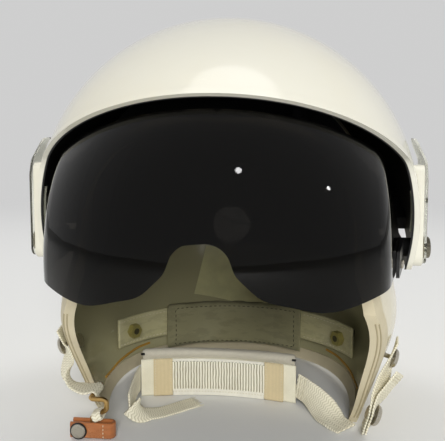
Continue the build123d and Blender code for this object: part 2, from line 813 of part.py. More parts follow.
left_route_low_shares = ((0.26, -0.6, -0.34), (0.56, -0.92, -0.43), (0.98, -1.12, -0.47))
left_route = strap_route((0, 0, 0, 0, 0))[:3]
below_cap = snap_radius + web_wall
left_route[2] = (anchor_x - lean * below_cap, anchor_y - web_width / 4, anchor_height - below_cap)
for inward, ahead, drop in left_route_low_shares:
    left_route.append((anchor_x - inward * strap_shift, anchor_y + ahead * web_width,
                       anchor_height + drop * strap_reach))
bar_x = anchor_x - 1.3 * strap_shift
bar_z = anchor_height - 0.5 * strap_reach
left_ribbon = ribbon(left_route, [(0, 1, 0)] * len(left_route), web_width, web_wall) - post_bore
loop_y = left_route[-1][1]
loop_hole = wire_radius + fit
loop_ring = Pos(bar_x, loop_y, bar_z) * Rot(90, 0, 0) * (
    Cylinder(loop_hole + web_wall, web_width) - Cylinder(loop_hole, 2 * web_width))
tail_end = left_route[-1]
to_ring = ribbon([tail_end, (bar_x + loop_hole + web_wall / 2, loop_y, bar_z)],
                 [(0, 1, 0)] * 2, web_width, web_wall)
left_strap_positive = left_ribbon + to_ring + loop_ring
left_strap_positive = left_strap_positive - (
    Pos(bar_x, loop_y, bar_z) * Rot(90, 0, 0) * Cylinder(loop_hole, 2 * web_width))
left_strap = mirror(left_strap_positive, about=Plane.YZ)

stand = (shell_low_x - surface_x(anchor_y, anchor_height)) + strap_gap + web_wall / 2
cap_lift = web_wall / 2 + clear
back_depth = stand + 2 * shell_wall
anchor_cap = domed_cap(snap_radius * 0.9, snap_height * 0.8, cap_lift)
anchor_post = Pos(0, 0, (cap_lift - back_depth) / 2) * Cylinder(snap_post, cap_lift + back_depth)
anchor_back = Pos(0, 0, -back_depth - washer_wall / 2) * Cylinder(snap_radius * 0.7, washer_wall)
strap_anchor_right = anchor_frame * (anchor_post + anchor_cap + anchor_back)
strap_anchor_left = mirror(strap_anchor_right, about=Plane.YZ)
shell_bore = anchor_frame * Cylinder(snap_post + fit, 2 * overrun)
binding_bore = anchor_frame * Cylinder(snap_radius, 2 * overrun)
inner_shell = inner_shell - shell_bore - mirror(shell_bore, about=Plane.YZ)
edge_binding = edge_binding - binding_bore - mirror(binding_bore, about=Plane.YZ)


# Hook: a bar through the strap's loop, bent down into a double hook

def round_wire(points, bend, radius):
    """Round wire along a bent route."""
    path = FilletPolyline(*points, radius=bend)
    return sweep(Plane(origin=path @ 0, z_dir=path % 0) * Circle(radius), path=path)


hook_y = loop_y - web_width / 2 - 1.6 * wire_radius
hook_x = -bar_x
hook_low = wire_radius + clear
bar_end = loop_y + web_width / 2 + 1.5 * wire_radius
hook_right = hook_x + hook_half_width * 1.6
slant_high = bar_z - hook_half_width * slant_high_share
slant_low = bar_z - hook_half_width * slant_low_share
hook_points = (
    (hook_x, bar_end, bar_z), (hook_x, hook_y, bar_z), (hook_right, hook_y, bar_z),
    (hook_right, hook_y, slant_high), (hook_x + wire_radius, hook_y, slant_low), (hook_x + wire_radius, hook_y, hook_low),
    (hook_right, hook_y, hook_low), (hook_right, hook_y, hook_low + hook_half_width))
wire_bend = wire_radius * 1.8
double_hook = round_wire(hook_points, wire_bend, wire_radius)

# Sewn loop of webbing on the hook's slanted middle
slant_start = Vector(hook_right, hook_y, slant_high)
slant_end = Vector(hook_x + wire_radius, hook_y, slant_low)
slant = (slant_end - slant_start).normalized()
loop_bore = wire_radius + fit
loop_reach = web_width / 4
loop_plane = Plane(origin=(slant_start + slant_end) * 0.5, x_dir=(0, 1, 0), z_dir=slant)


def loop_oval(radius):
    """End view of the loop: two round ends, one about the wire and one ahead of it."""
    bar = Pos(-loop_reach / 2, 0) * Rectangle(loop_reach, 2 * radius)
    return bar + Circle(radius) + Pos(-loop_reach, 0) * Circle(radius)


hook_loop = loop_plane * extrude(loop_oval(loop_bore + web_wall) - loop_oval(loop_bore),
                                 amount=loop_width / 2, both=True)

# Leather tab folded round the hook's lower bend
tab_gap = wire_radius + clear
tab_low = hook_low - wire_radius + clear
tab_right = hook_right + wire_radius + clear
tab_left = tab_right - tab_length


def tab_profile(amount):
    """Plan view of the tab: two leaves joined by a round fold at the right."""
    r = tab_gap + amount
    bar = Pos(tab_left + tab_length / 2, hook_y) * Rectangle(tab_length, 2 * r)
    return bar + Pos(tab_right, hook_y) * Circle(r)


leaf = tab_profile(tab_wall) - tab_profile(0)
leaf = leaf - Pos(tab_left - overrun / 2 + fit, hook_y) * Rectangle(overrun, 6 * tab_wall)
leather_tab = extrude(Pos(0, 0, tab_low) * leaf, amount=tab_width)
tab_snap_x = tab_left + tab_snap_radius + tab_wall / 2
tab_snap_z = tab_low + tab_width / 2
tab_bore = Pos(tab_snap_x, hook_y, tab_snap_z) * Rot(90, 0, 0) * Cylinder(snap_post + fit, overrun / 2)
tab_eye = Pos(hook_right - wire_bend, hook_y, hook_low + wire_bend) * Rot(90, 0, 0) * Cylinder(
    tab_eye_radius, overrun / 2)
leather_tab = leather_tab - tab_bore - tab_eye
tab_face = tab_gap + tab_wall + fit
snap_base = Pos(tab_snap_x, hook_y, tab_snap_z) * Rot(90, 0, 0)
tab_snap = snap_base * (domed_cap(tab_snap_radius, snap_height / 2, tab_face)
                        + Cylinder(snap_post, 2 * tab_face)
                        + Pos(0, 0, -tab_face - washer_wall / 2) * Cylinder(tab_snap_radius * 0.8, washer_wall))

# Chin strap: padded roll, ribbed elastic, keepers and webbing
chin_radius = ((chin_length / 2) ** 2 + chin_curve ** 2) / (2 * chin_curve)
chin_center = chin_back - chin_radius + web_wall
chin_x = -chin_aside


def chin_arc(inner, outer, low, high, x0, x1):
    """A slice of a level ring about the chin strap's center of curvature."""
    ring_solid = Pos(chin_x, chin_center, (low + high) / 2) * (
        Cylinder(outer, high - low) - Cylinder(inner, 2 * (high - low)))
    box = Pos(chin_x + (x0 + x1) / 2, chin_center + chin_radius, (low + high) / 2) * Box(
        x1 - x0, chin_radius, 2 * (high - low))
    return ring_solid & box


chin_half = chin_length / 2
chin_low = clear
roll_height = chin_low + chin_height + roll_radius
chin_plate = chin_arc(chin_radius, chin_radius + chin_wall, chin_low, roll_height, -chin_half, chin_half)
roll_ring = Pos(chin_x, chin_center, roll_height) * Torus(chin_radius + chin_wall / 2, roll_radius)
roll = roll_ring & (Pos(chin_x, chin_center + chin_radius, roll_height) * Box(
    chin_length, chin_radius, 4 * roll_radius))
chin_pad = chin_plate + roll

elastic_wall = web_wall
elastic_out = chin_radius - fit
elastic_in = elastic_out - elastic_wall
elastic_high = roll_height - roll_radius - clear
keeper_aside = chin_half * 0.72
rib_span = 2 * (keeper_aside - keeper_width)
elastic = chin_arc(elastic_in, elastic_out, chin_low, elastic_high, -chin_half, chin_half)
rib_pitch = rib_span / rib_count
ribs = []
for index in range(rib_count):
    x = -rib_span / 2 + rib_pitch * (index + 0.5)
    y = chin_center + sqrt(elastic_in ** 2 - x ** 2)
    ribs.append(Pos(chin_x + x, y, (chin_low + elastic_high) / 2 + web_wall) * Cylinder(
        rib_pitch * 0.36, elastic_high - chin_low - 2 * web_wall))
ribbed_elastic = elastic + ribs


def chin_keeper(side):
    """A flat band that holds the elastic to the pad near one end."""
    x0 = side * keeper_aside - keeper_width / 2
    x1 = x0 + keeper_width
    front = chin_arc(elastic_in - fit - keeper_wall, elastic_in - fit, chin_low, elastic_high, x0, x1)
    return front


keepers = {side: chin_keeper(side) for side in (-1, 1)}
swing_x = inner_route[-1][0] - web_wall / 2 - 2 * clear - web_width / 2
swing_y = inner_route[-1][1]
tongue_wall = web_wall + 2 * clear
tongue_z = chin_low + tongue_wall / 2
tongue = Pos(swing_x, swing_y, tongue_z) * Cylinder(web_width / 2, tongue_wall)
end_x = chin_x + chin_half + 3 * clear
end_y = chin_center + sqrt((elastic_in - keeper_wall) ** 2 - chin_half ** 2) + web_wall / 2
mid_z = (chin_low + elastic_high) / 2
right_span_shares = ((0.0, 0.0, 0.0), (0.22, 0.2, 0.1), (0.5, 0.52, 0.52), (0.78, 0.82, 0.85), (1.0, 1.0, 1.0))
right_sides = ((0.7, 0.7, 0), (0.7, 0.7, 0.1), (0.35, 0.35, 0.8), (0, 0.1, 1), (0, 0, 1))
right_web_route = [(swing_x + (end_x - swing_x) * u, swing_y + (end_y - swing_y) * v,
                    tongue_z + (mid_z - tongue_z) * w) for u, v, w in right_span_shares]
right_webbing = ribbon(right_web_route, right_sides, web_width, web_wall) + tongue

left_end_x = chin_x - chin_half - 3 * clear
turn_x = hook_right + 4 * wire_radius + tab_wall + 3 * clear
turn_y = loop_y + web_width / 2
left_span_shares = ((0.0, 0.0, 1.0), (0.25, 0.35, 1.1), (0.7, 0.7, 1.05), (1.0, 1.0, 0.85))
left_sides = ((0, 0, 1), (0, 0, 1), (0, 0, 1), (0, 0, 1))
left_web_route = [(left_end_x + (turn_x - left_end_x) * u, end_y + (turn_y - end_y) * v, mid_z * w)
                  for u, v, w in left_span_shares]
left_webbing = ribbon(left_web_route, left_sides, web_width, web_wall)
tail_height = mid_z * 0.85
tail_length = 2.4 * web_width
tail_shares = ((0.0, 0.0, 1.0), (0.07, 0.05, 0.55), (0.2, 0.17, 0.2), (0.42, 0.36, 0.0), (0.72, 0.62, 0.0),
               (0.86, 0.74, 0.0))
tail_sides = ((0, 0, 1), (-0.3, 0.35, 0.8), (-0.7, 0.75, 0.2), (-0.7, 0.75, 0), (-0.7, 0.75, 0),
              (-0.7, 0.75, 0))
tail_route = [(turn_x + web_wall + clear + tail_length * u, turn_y + tail_length * v,
               tongue_z + (tail_height - tongue_z) * w) for u, v, w in tail_shares]
loose_tail = ribbon(tail_route, tail_sides, web_width * 0.8, web_wall)

# The pieces, moved so that the origin lies under the middle of the whole
origin_y = (visor_lens.bounding_box().min.Y + inner_shell.bounding_box().max.Y) / 2
place_all = Pos(0, -origin_y, 0)
flip = Plane.YZ
pieces = {
    "inner_shell": inner_shell,
    "edge_binding": edge_binding,
    "foam_liner": foam_liner,
    "brow_pad": brow_pad,
    "crown_pad": crown_pad,
    "side_pad_right": side_pad_right,
    "side_pad_left": mirror(side_pad_right, about=flip),
    "rear_pad": rear_pad,
    "rubber_bumper": rubber_bumper,
    "visor_cover": visor_cover,
    "cover_seal": seal_strip,
    "cover_screw_left": cover_screws[0],
    "cover_screw_right": cover_screws[1],
    "guide_clip_right": guide_clip_right,
    "guide_clip_left": mirror(guide_clip_right, about=flip),
    "side_guard_right": guard_right,
    "side_guard_left": mirror(guard_right, about=flip),
    "guard_screw_right": guard_screw_right,
    "guard_screw_left": mirror(guard_screw_right, about=flip),
    "pivot_stud_right": pivot_stud_right,
    "pivot_stud_left": mirror(pivot_stud_right, about=flip),
    "shell_spacer_right": spacer_right,
    "shell_spacer_left": mirror(spacer_right, about=flip),
    "cover_spacer_right": outer_spacer_right,
    "cover_spacer_left": mirror(outer_spacer_right, about=flip),
    "brass_washer_right": washer_right,
    "brass_washer_left": mirror(washer_right, about=flip),
    "visor_lens": visor_lens,
    "visor_arm_right": arm_right,
    "visor_arm_left": arm_left,
    "arm_rivet_right": rivet_right,
    "arm_rivet_left": rivet_left,
    "lock_knob_right": lock_knob_right,
    "lock_knob_left": mirror(lock_knob_right, about=flip),
    "nape_band": nape_band,
    "nape_pad": nape_pad,
    "nape_nut_right": nape_nuts[1],
    "nape_nut_left": nape_nuts[-1],
    "nape_bolt_right": nape_bolts[1],
    "nape_bolt_left": nape_bolts[-1],
    "nape_standoff_right": standoffs[1],
    "nape_standoff_left": standoffs[-1],
    "bare_label": bare_label,
    "strap_anchor_right": strap_anchor_right,
    "strap_anchor_left": strap_anchor_left,
    "right_strap": right_strap,
    "right_strap_fold": right_strap_fold,
    "right_snap": right_snap,
    "left_strap": left_strap,
    "double_hook": double_hook,
    "hook_loop": hook_loop,
    "leather_tab": leather_tab,
    "tab_snap": tab_snap,
    "chin_pad": chin_pad,
    "chin_elastic": ribbed_elastic,
    "chin_keeper_right": keepers[1],
    "chin_keeper_left": keepers[-1],
    "chin_webbing_right": right_webbing,
    "chin_webbing_left": left_webbing,
    "chin_tail": loose_tail,
}

os.makedirs("parts", exist_ok=True)
for name, solid in pieces.items():
    export_step(place_all * solid, f"parts/{name}.step")
print("pivot", pivot_y - origin_y, pivot_height)
print("anchor", anchor_x, anchor_y - origin_y, anchor_height, lean_angle)
print("snap", swing_x, swing_y - origin_y)
print("bar", hook_x, bar_z, (tab_left + tab_right) / 2, hook_y - origin_y, hook_low, origin_y, hook_right,
      wire_bend)
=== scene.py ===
"""Pilot flight helmet: finishes, soft goods and studio, built round the fixed frame."""
import logging
import math
from dataclasses import dataclass, field
from enum import Enum
from typing import Any, Callable, Iterable, NamedTuple, Sequence

import bmesh
import bpy
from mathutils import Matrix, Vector
from mathutils.bvhtree import BVHTree


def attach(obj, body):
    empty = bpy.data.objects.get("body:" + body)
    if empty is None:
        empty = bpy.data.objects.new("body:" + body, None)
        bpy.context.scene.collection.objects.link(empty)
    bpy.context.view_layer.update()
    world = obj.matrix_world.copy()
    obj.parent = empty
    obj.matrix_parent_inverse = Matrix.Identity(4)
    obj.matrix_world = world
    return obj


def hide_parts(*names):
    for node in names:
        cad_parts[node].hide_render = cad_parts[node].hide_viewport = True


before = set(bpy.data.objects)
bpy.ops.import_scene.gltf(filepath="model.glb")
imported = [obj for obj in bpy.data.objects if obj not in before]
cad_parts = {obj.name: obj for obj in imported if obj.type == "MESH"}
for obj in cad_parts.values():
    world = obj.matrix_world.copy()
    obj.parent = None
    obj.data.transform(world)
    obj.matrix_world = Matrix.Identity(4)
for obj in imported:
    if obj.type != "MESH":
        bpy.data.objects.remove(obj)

LOG = logging.getLogger("helmet")
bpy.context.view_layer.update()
MM = 0.001
MERGE = 1e-6
TINY = 1e-9
PLACES = 7
RAY_REACH = 0.5
HEAD_MIDDLE = (0.0, 0.008, 0.13)
NAPE_CENTRE = -0.0068
UP = (0.0, 0.0, 1.0)
WHITE = (1.0, 1.0, 1.0, 1.0)
Point = tuple[float, float, float]
Colour = tuple[float, float, float, float]


def linear(red: int, green: int, blue: int) -> Colour:
    """Linear colour of a shade written in the usual 0 to 255 steps."""
    def lift(step: int) -> float:
        """One channel, undone from the standard display curve."""
        share = step / 255
        return share / 12.92 if share <= 0.04045 else ((share + 0.055) / 1.055) ** 2.4
    return (lift(red), lift(green), lift(blue), 1.0)


def mm(points: Iterable[Point]) -> list[Vector]:
    """Points given in millimetres, as vectors in metres."""
    return [Vector(point) * MM for point in points]


def spread(first: float, last: float, steps: int) -> list[float]:
    """Evenly spaced numbers from the first to the last."""
    return [first + (last - first) * step / steps for step in range(steps + 1)]


# ---- Node trees


class Socket:
    """One output of a node, with operators that add Math nodes."""

    def __init__(self, graph: "Graph", output: bpy.types.NodeSocket) -> None:
        """Keep the graph and the output."""
        self.graph = graph
        self.output = output

    def _math(self, name: str, first: Any, second: Any = 0.0) -> "Socket":
        """A Math node on two values."""
        return self.graph.add("ShaderNodeMath", {"operation": name}, {0: first, 1: second})

    def __add__(self, other: Any) -> "Socket":
        """Sum."""
        return self._math("ADD", self, other)

    def __sub__(self, other: Any) -> "Socket":
        """Difference."""
        return self._math("SUBTRACT", self, other)

    def __rsub__(self, other: Any) -> "Socket":
        """Difference from a number."""
        return self._math("SUBTRACT", other, self)

    def __mul__(self, other: Any) -> "Socket":
        """Product."""
        return self._math("MULTIPLY", self, other)

    def __truediv__(self, other: Any) -> "Socket":
        """Quotient."""
        return self._math("DIVIDE", self, other)

    def abs(self) -> "Socket":
        """Size without its sign."""
        return self._math("ABSOLUTE", self)

    def sine(self) -> "Socket":
        """Sine of an angle in radians."""
        return self._math("SINE", self)

    def cosine(self) -> "Socket":
        """Cosine of an angle in radians."""
        return self._math("COSINE", self)

    def largest(self, other: Any) -> "Socket":
        """The larger of two."""
        return self._math("MAXIMUM", self, other)

    def wrap(self, pitch: float) -> "Socket":
        """Share of the way through each pitch, 0 to 1."""
        return self._math("FRACT", self / pitch)

    def ease(self, low: float, high: float) -> "Socket":
        """0 at low, 1 at high, smooth between."""
        return self.graph.add("ShaderNodeMapRange", {"interpolation_type": "SMOOTHSTEP"},
                              {"Value": self, "From Min": low, "From Max": high})


class Graph:
    """A node tree, with one method for any node."""

    def __init__(self, tree: bpy.types.NodeTree) -> None:
        """Start from an empty tree."""
        self.tree = tree
        self.tree.nodes.clear()

    @staticmethod
    def pick(sockets: Sequence[bpy.types.NodeSocket], key: int | str) -> bpy.types.NodeSocket:
        """A socket by its place, or the live one of a name."""
        return sockets[key] if isinstance(key, int) else next(
            one for one in sockets if one.name == key and one.enabled)

    def add(self, kind: str, settings: dict[str, Any] | None = None,
            values: dict[int | str, Any] | None = None, output: int | str = 0) -> Socket:
        """Add any node.

        Args:
            kind: the node's type.
            settings: properties set first.
            values: numbers, colours or links for its inputs.
            output: which output is handed back.

        Returns:
            The chosen output.
        """
        node = self.tree.nodes.new(kind)
        for key, value in (settings or {}).items():
            setattr(node, key, value)
        for key, value in (values or {}).items():
            target = self.pick(node.inputs, key)
            if isinstance(value, Socket):
                self.tree.links.new(value.output, target)
            else:
                target.default_value = value
        return Socket(self, self.pick(node.outputs, output))

    def end(self, kind: str, last: Socket) -> None:
        """Join the last node to a new output node of a kind."""
        self.tree.links.new(last.output, self.tree.nodes.new(kind).inputs[0])

    def place(self, kind: str = "Object") -> Socket:
        """Texture coordinates of one kind."""
        return self.add("ShaderNodeTexCoord", output=kind)

    def axes(self, vector: Socket) -> tuple[Socket, Socket, Socket]:
        """The three parts of a vector."""
        node = self.add("ShaderNodeSeparateXYZ", values={0: vector}).output.node
        return tuple(Socket(self, one) for one in node.outputs)

    def vector(self, x: Any = 0.0, y: Any = 0.0, z: Any = 0.0) -> Socket:
        """A vector from its parts."""
        return self.add("ShaderNodeCombineXYZ", values={0: x, 1: y, 2: z})

    def measure(self, operation: str, first: Any, second: Any = (0.0, 0.0, 0.0)) -> Socket:
        """A number worked out from two vectors."""
        return self.add("ShaderNodeVectorMath", {"operation": operation}, {0: first, 1: second}, "Value")

    def noise(self, vector: Socket, scale: float, detail: float = 3.0, rough: float = 0.5) -> Socket:
        """Soft noise, 0 to 1."""
        return self.add("ShaderNodeTexNoise", None, {
            "Vector": vector, "Scale": scale, "Detail": detail, "Roughness": rough}, "Fac")

    def cells(self, vector: Socket, scale: float, feature: str = "F1") -> Socket:
        """Distance inside scattered cells."""
        return self.add("ShaderNodeTexVoronoi", {"feature": feature}, {"Vector": vector, "Scale": scale})

    def mix(self, share: Any, first: Any, second: Any) -> Socket:
        """A colour part of the way from the first to the second."""
        return self.add("ShaderNodeMix", {"data_type": "RGBA"}, {0: share, 6: first, 7: second}, 2)

    def bump(self, height: Socket, distance: float) -> Socket:
        """A normal from a height, in metres at full strength."""
        return self.add("ShaderNodeBump", None, {"Height": height, "Distance": distance, "Strength": 1.0})

    def principled(self, **values: Any) -> Socket:
        """The general shader, with its inputs named in lower case."""
        return self.add("ShaderNodeBsdfPrincipled", None, {
            key.replace("_", " ").title().replace("Ior", "IOR"): value for key, value in values.items()})


# ---- Finishes


@dataclass(frozen=True)
class Mark:
    """One layer of wear, as soft noise or as cells.

    Tint, dull, metal and rise say how far it takes the colour, the roughness, the metal and the height. Its
    colour is the finish's own with less light, or the colour of the finish that towards names.
    """

    scale: float
    levels: tuple[float, float] | None = None
    detail: float = 3.0
    broken: float = 0.5
    stretch: Point | None = None
    feature: str = ""
    patch: "Mark | None" = None
    tint: float = 0.0
    tint_levels: tuple[float, float] | None = None
    shade: float = 0.0
    towards: str = ""
    dull: float = 0.0
    metal: float = 0.0
    rise: float = 0.0

    def over(self, graph: Graph, spot: Socket) -> Socket:
        """The layer's strength at a place."""
        where = spot
        if self.stretch:
            where = graph.add("ShaderNodeVectorMath", {"operation": "MULTIPLY"}, {0: spot, 1: self.stretch})
        value = graph.cells(where, self.scale, self.feature) if self.feature else graph.noise(
            where, self.scale, self.detail, self.broken)
        if self.levels:
            value = value.ease(*self.levels)
        return value * self.patch.over(graph, spot) if self.patch else value


@dataclass(frozen=True)
class Finish:
    """A surface finish; the plain one is an even moulded plastic."""

    name: str
    colour: Colour
    rough: float = 0.5
    metallic: float = 0.0
    sheen: float = 0.0
    depth: float = 0.00004

    def material(self) -> bpy.types.Material:
        """The finish's material, made once."""
        label = f"finish_{self.name}"
        made = bpy.data.materials.get(label)
        if made is None:
            made = bpy.data.materials.new(label)
            made.use_nodes = True
            graph = Graph(made.node_tree)
            spot = graph.place()
            look = self.worn(graph, spot)
            look.update(self.others(graph, spot, look))
            graph.end("ShaderNodeOutputMaterial", graph.principled(**look))
            made.diffuse_color = self.colour
        return made

    def darker(self, share: float) -> Colour:
        """The colour with less light, for grime and shade."""
        return (*(part * share for part in self.colour[:3]), 1.0)

    def slant(self, across: float) -> float:
        """How far threads have leaned at a place across the piece; none where nothing is woven."""
        return 0.0

    def wear(self) -> tuple[Mark, ...]:
        """Layers of wear, in order."""
        return (Mark(60.0, (0.35, 0.7), tint=1.0, shade=0.86), Mark(240.0, dull=0.12),
                Mark(900.0, detail=2.0, rise=1.0))

    def ground(self, graph: Graph, spot: Socket) -> tuple[Any, Any]:
        """Colour and height under the wear."""
        return self.colour, 0.0

    def others(self, graph: Graph, spot: Socket, look: dict[str, Any]) -> dict[str, Any]:
        """Inputs of the shader that a kind adds to the worn look or changes in it."""
        return {}

    def worn(self, graph: Graph, spot: Socket) -> dict[str, Any]:
        """Inputs of the shader once every layer of wear is on."""
        colour, height = self.ground(graph, spot)
        rough, metal = self.rough, self.metallic
        for mark in self.wear():
            value = mark.over(graph, spot)
            if mark.tint:
                seen = value.ease(*mark.tint_levels) if mark.tint_levels else value
                target = getattr(self, mark.towards) if mark.towards else self.darker(mark.shade)
                colour = graph.mix(seen * mark.tint, colour, target)
            if mark.dull:
                rough = value * mark.dull + rough
            if mark.metal:
                metal = value * mark.metal + metal
            if mark.rise:
                height = value * mark.rise + height
        look = {"base_color": colour, "roughness": rough, "metallic": metal, "sheen_weight": self.sheen}
        if isinstance(height, Socket):
            look["normal"] = graph.bump(height, self.depth)
        return look


@dataclass(frozen=True)
class Enamel(Finish):
    """Sprayed gloss paint under a clear coat, a little yellowed and dusty, with painted shade inside: near
    black.
    """

    depth: float = 0.00003
    aged: Colour = (0.6, 0.5, 0.3, 1.0)
    gloss: float = 0.8
    coat_rough: float = 0.035
    # the inside colour is painted shade: the cover's underside is made near black
    inside: Colour = (0.006, 0.006, 0.006, 1.0)
    inside_dull: float = 0.45
    middle: Point = (0.0, 0.0007, 0.148)
    skin: float = 0.1312
    blend: float = 0.0002

    def wear(self) -> tuple[Mark, ...]:
        """Cloudy yellowing, dust in patches, thin marks, smears and ripples."""
        return (Mark(9.0, (0.42, 0.78), 4.0, tint=0.35, towards="aged"),
                Mark(160.0, (0.055, 0.03), feature="F1", patch=Mark(30.0, (0.56, 0.66), 2.0), tint=0.45,
                     shade=0.35),
                Mark(14.0, (0.66, 0.74), 4.0, 0.6, (7.0, 90.0, 60.0), dull=0.12),
                Mark(35.0, detail=4.0, dull=0.09), Mark(210.0, detail=2.0, rise=1.0))

    def others(self, graph: Graph, spot: Socket, look: dict[str, Any]) -> dict[str, Any]:
        """Near black and dull inside the skin as painted shade, coated outside it."""
        away = graph.measure("DISTANCE", spot, self.middle)
        outer = away.ease(self.skin - self.blend, self.skin + self.blend)
        # inside the skin the colour is painted shade, near black
        return {"base_color": graph.mix(outer, self.inside, look["base_color"]),
                "roughness": look["roughness"] + (1.0 - outer) * self.inside_dull,
                "coat_weight": outer * self.gloss, "coat_roughness": self.coat_rough}


@dataclass(frozen=True)
class ShellEnamel(Enamel):
    """Cream shell paint with painted shade, near black, on the brow under the cover, and a raw olive inside.
    """

    depth: float = 0.00005
    coat_rough: float = 0.08
    # brow: near black painted shade on the shell's forehead where the cover shades it
    brow: Colour = (0.012, 0.012, 0.013, 1.0)
    brow_low: float = 0.1
    brow_front: float = 0.04
    brow_blend: float = 0.006
    brow_dull: float = 0.42
    raw: Colour = linear(172, 167, 130)
    blend: float = 0.01

    def wear(self) -> tuple[Mark, ...]:
        """Clouds, long scuffs and ripples."""
        return (Mark(14.0, detail=4.0, tint=0.3, tint_levels=(0.4, 0.75), towards="aged", dull=0.1),
                Mark(9.0, (0.64, 0.76), 5.0, 0.62, (40.0, 8.0, 60.0), tint=0.3, shade=0.7, dull=0.14),
                Mark(260.0, detail=2.0, rise=1.0))

    def others(self, graph: Graph, spot: Socket, look: dict[str, Any]) -> dict[str, Any]:
        """Raw where the shell faces the head, near black painted shade where the cover shades the brow,
        coated elsewhere.
        """
        _, y, z = graph.axes(spot)
        # painted shade mask: high up and forward, under the cover's rim
        shade = z.ease(self.brow_low, self.brow_low + self.brow_blend)
        shade = shade * (0.0 - y).ease(self.brow_front, self.brow_front + self.brow_blend)
        away = graph.add("ShaderNodeVectorMath", {"operation": "SUBTRACT"}, {0: spot, 1: self.middle})
        within = graph.measure("DOT_PRODUCT", away, graph.place("Normal")).ease(self.blend, -self.blend)
        colour = graph.mix(within, look["base_color"], self.raw)
        return {"base_color": graph.mix(shade, colour, self.brow),
                "roughness": look["roughness"] + shade * self.brow_dull,
                "coat_weight": (1.0 - shade) * self.gloss, "coat_roughness": self.coat_rough}


@dataclass(frozen=True)
class ClearPlastic(Finish):
    """Clear plastic gone faintly yellow, with a scratched face."""

    clarity: float = 0.97
    ior: float = 1.15

    def wear(self) -> tuple[Mark, ...]:
        """Long scratches."""
        return (Mark(9.0, (0.6, 0.72), 4.0, stretch=(120.0, 120.0, 12.0), dull=0.18),)

    def others(self, graph: Graph, spot: Socket, look: dict[str, Any]) -> dict[str, Any]:
        """Light goes through it."""
        return {"ior": self.ior, "transmission_weight": self.clarity}


@dataclass(frozen=True)
class SmokeLens(ClearPlastic):
    """Near-black smoked acrylic, polished."""

    clarity: float = 0.93
    ior: float = 1.24

    def wear(self) -> tuple[Mark, ...]:
        """Faint smears and level hairlines."""
        return (Mark(26.0, (0.52, 0.74), 5.0, 0.6, (1.0, 0.4, 1.6), dull=0.035),
                Mark(10.0, (0.7, 0.76), stretch=(5.0, 5.0, 130.0), dull=0.05))


class Metal(Enum):
    """How a metal is finished, with the share of it that has gone dull."""

    PLATED = 0.25
    BRUSHED = 0.2
    TARNISHED = 0.75


@dataclass(frozen=True)
class MetalFinish(Finish):
    """Metal with dull, stained spots and drawn lines."""

    metallic: float = 1.0
    depth: float = 0.00002
    kind: Metal = Metal.PLATED
    stain: Colour = (0.08, 0.06, 0.04, 1.0)

    def wear(self) -> tuple[Mark, ...]:
        """Stained spots as the kind asks for, and drawn lines."""
        amount = self.kind.value
        return (Mark(170.0, (0.45, 0.7), 5.0, 0.6, tint=amount, towards="stain", dull=0.35 * amount,
                     metal=-0.5 * amount),
                Mark(420.0, detail=2.0, stretch=(1.0, 1.0, 14.0), dull=0.12, rise=1.0))


@dataclass(frozen=True)
class Rubber(Finish):
    """Extruded vinyl or rubber, chalky where it has aged."""

    depth: float = 0.00006

    def wear(self) -> tuple[Mark, ...]:
        """Chalk bloom, small nicks in patches and a fine grain."""
        return (Mark(45.0, (0.4, 0.75), 4.0, tint=0.45, shade=0.72, dull=0.2),
                Mark(240.0, (0.09, 0.04), feature="F1", patch=Mark(22.0, (0.55, 0.7)), tint=0.6, shade=0.4),
                Mark(700.0, rise=1.0))


@dataclass(frozen=True)
class Hide(Finish):
    """Leather with pebbled grain, creases and rubbed colour."""

    sheen: float = 0.05
    depth: float = 0.00016
    rubbed: Colour = (0.5, 0.5, 0.4, 1.0)
    grain: float = 900.0

    def wear(self) -> tuple[Mark, ...]:
        """A lighter rubbed tone, long creases and grain cells."""
        return (Mark(28.0, (0.42, 0.68), 4.0, tint=0.6, towards="rubbed", dull=-0.12),
                Mark(55.0, detail=5.0, broken=0.65, stretch=(1.0, 1.0, 3.0), tint=0.3,
                     tint_levels=(0.52, 0.42), shade=0.55, rise=0.9),
                Mark(self.grain, feature="F1", dull=0.15, rise=0.5))


@dataclass(frozen=True)
class Weave(Finish):
    """Woven tape, its threads leaning in rows like a herringbone, from its UV map in metres."""

    sheen: float = 0.1
    depth: float = 0.00012
    row: float = 0.0048
    pick: float = 0.0018
    rake: float = 0.0012
    picks: float = 3.0
    rows: float = 6.0
    pick_rise: float = 0.55
    # soil_and_hollow_shade: colour of the grime and of the painted shade in the hollows
    soil_and_hollow_shade: Colour = (0.36, 0.31, 0.2, 1.0)
    # between: share of painted shade in the hollows between the ribs; hollow gives its levels
    between: float = 0.6
    hollow: tuple[float, float] = (0.62, 0.05)
    thread_hollow_shade: float = 0.16
    raised: bool = True

    def slant(self, across: float) -> float:
        """How far the threads have leaned at a place across the tape."""
        return abs(across / self.row % 1.0 - 0.5) * 2.0 * self.rake

    def wear(self) -> tuple[Mark, ...]:
        """Grime and soft fluff."""
        return (Mark(60.0, (0.42, 0.8), 4.0, tint=0.2, towards="soil_and_hollow_shade"),
                Mark(1500.0, detail=2.0, dull=0.15, rise=0.3))

    def ground(self, graph: Graph, spot: Socket) -> tuple[Any, Any]:
        """Threads as a height, with painted shade between them and between the ribs that stand on the mesh.
        """
        across, along, _ = graph.axes(graph.add("ShaderNodeUVMap", {"uv_map": "UVMap"}))
        zig = (across.wrap(self.row) - 0.5).abs() * (2.0 * self.rake)
        fine = ((along + zig) * (math.tau * self.picks / self.pick)).sine() * 0.5 + 0.5
        side = (across * (math.tau * self.rows / self.row)).sine() * 0.5 + 0.5
        height = fine * self.pick_rise + side * (1.0 - self.pick_rise)
        crest = height
        if self.raised:
            crest = graph.add("ShaderNodeAttribute", {"attribute_name": "crest"}, output="Fac")
        # painted shade: darker in the hollows between the ribs and, below, between the threads
        colour = graph.mix(crest.ease(*self.hollow) * self.between, self.colour, self.soil_and_hollow_shade)
        return graph.mix((1.0 - height) * self.thread_hollow_shade, colour, self.soil_and_hollow_shade), height


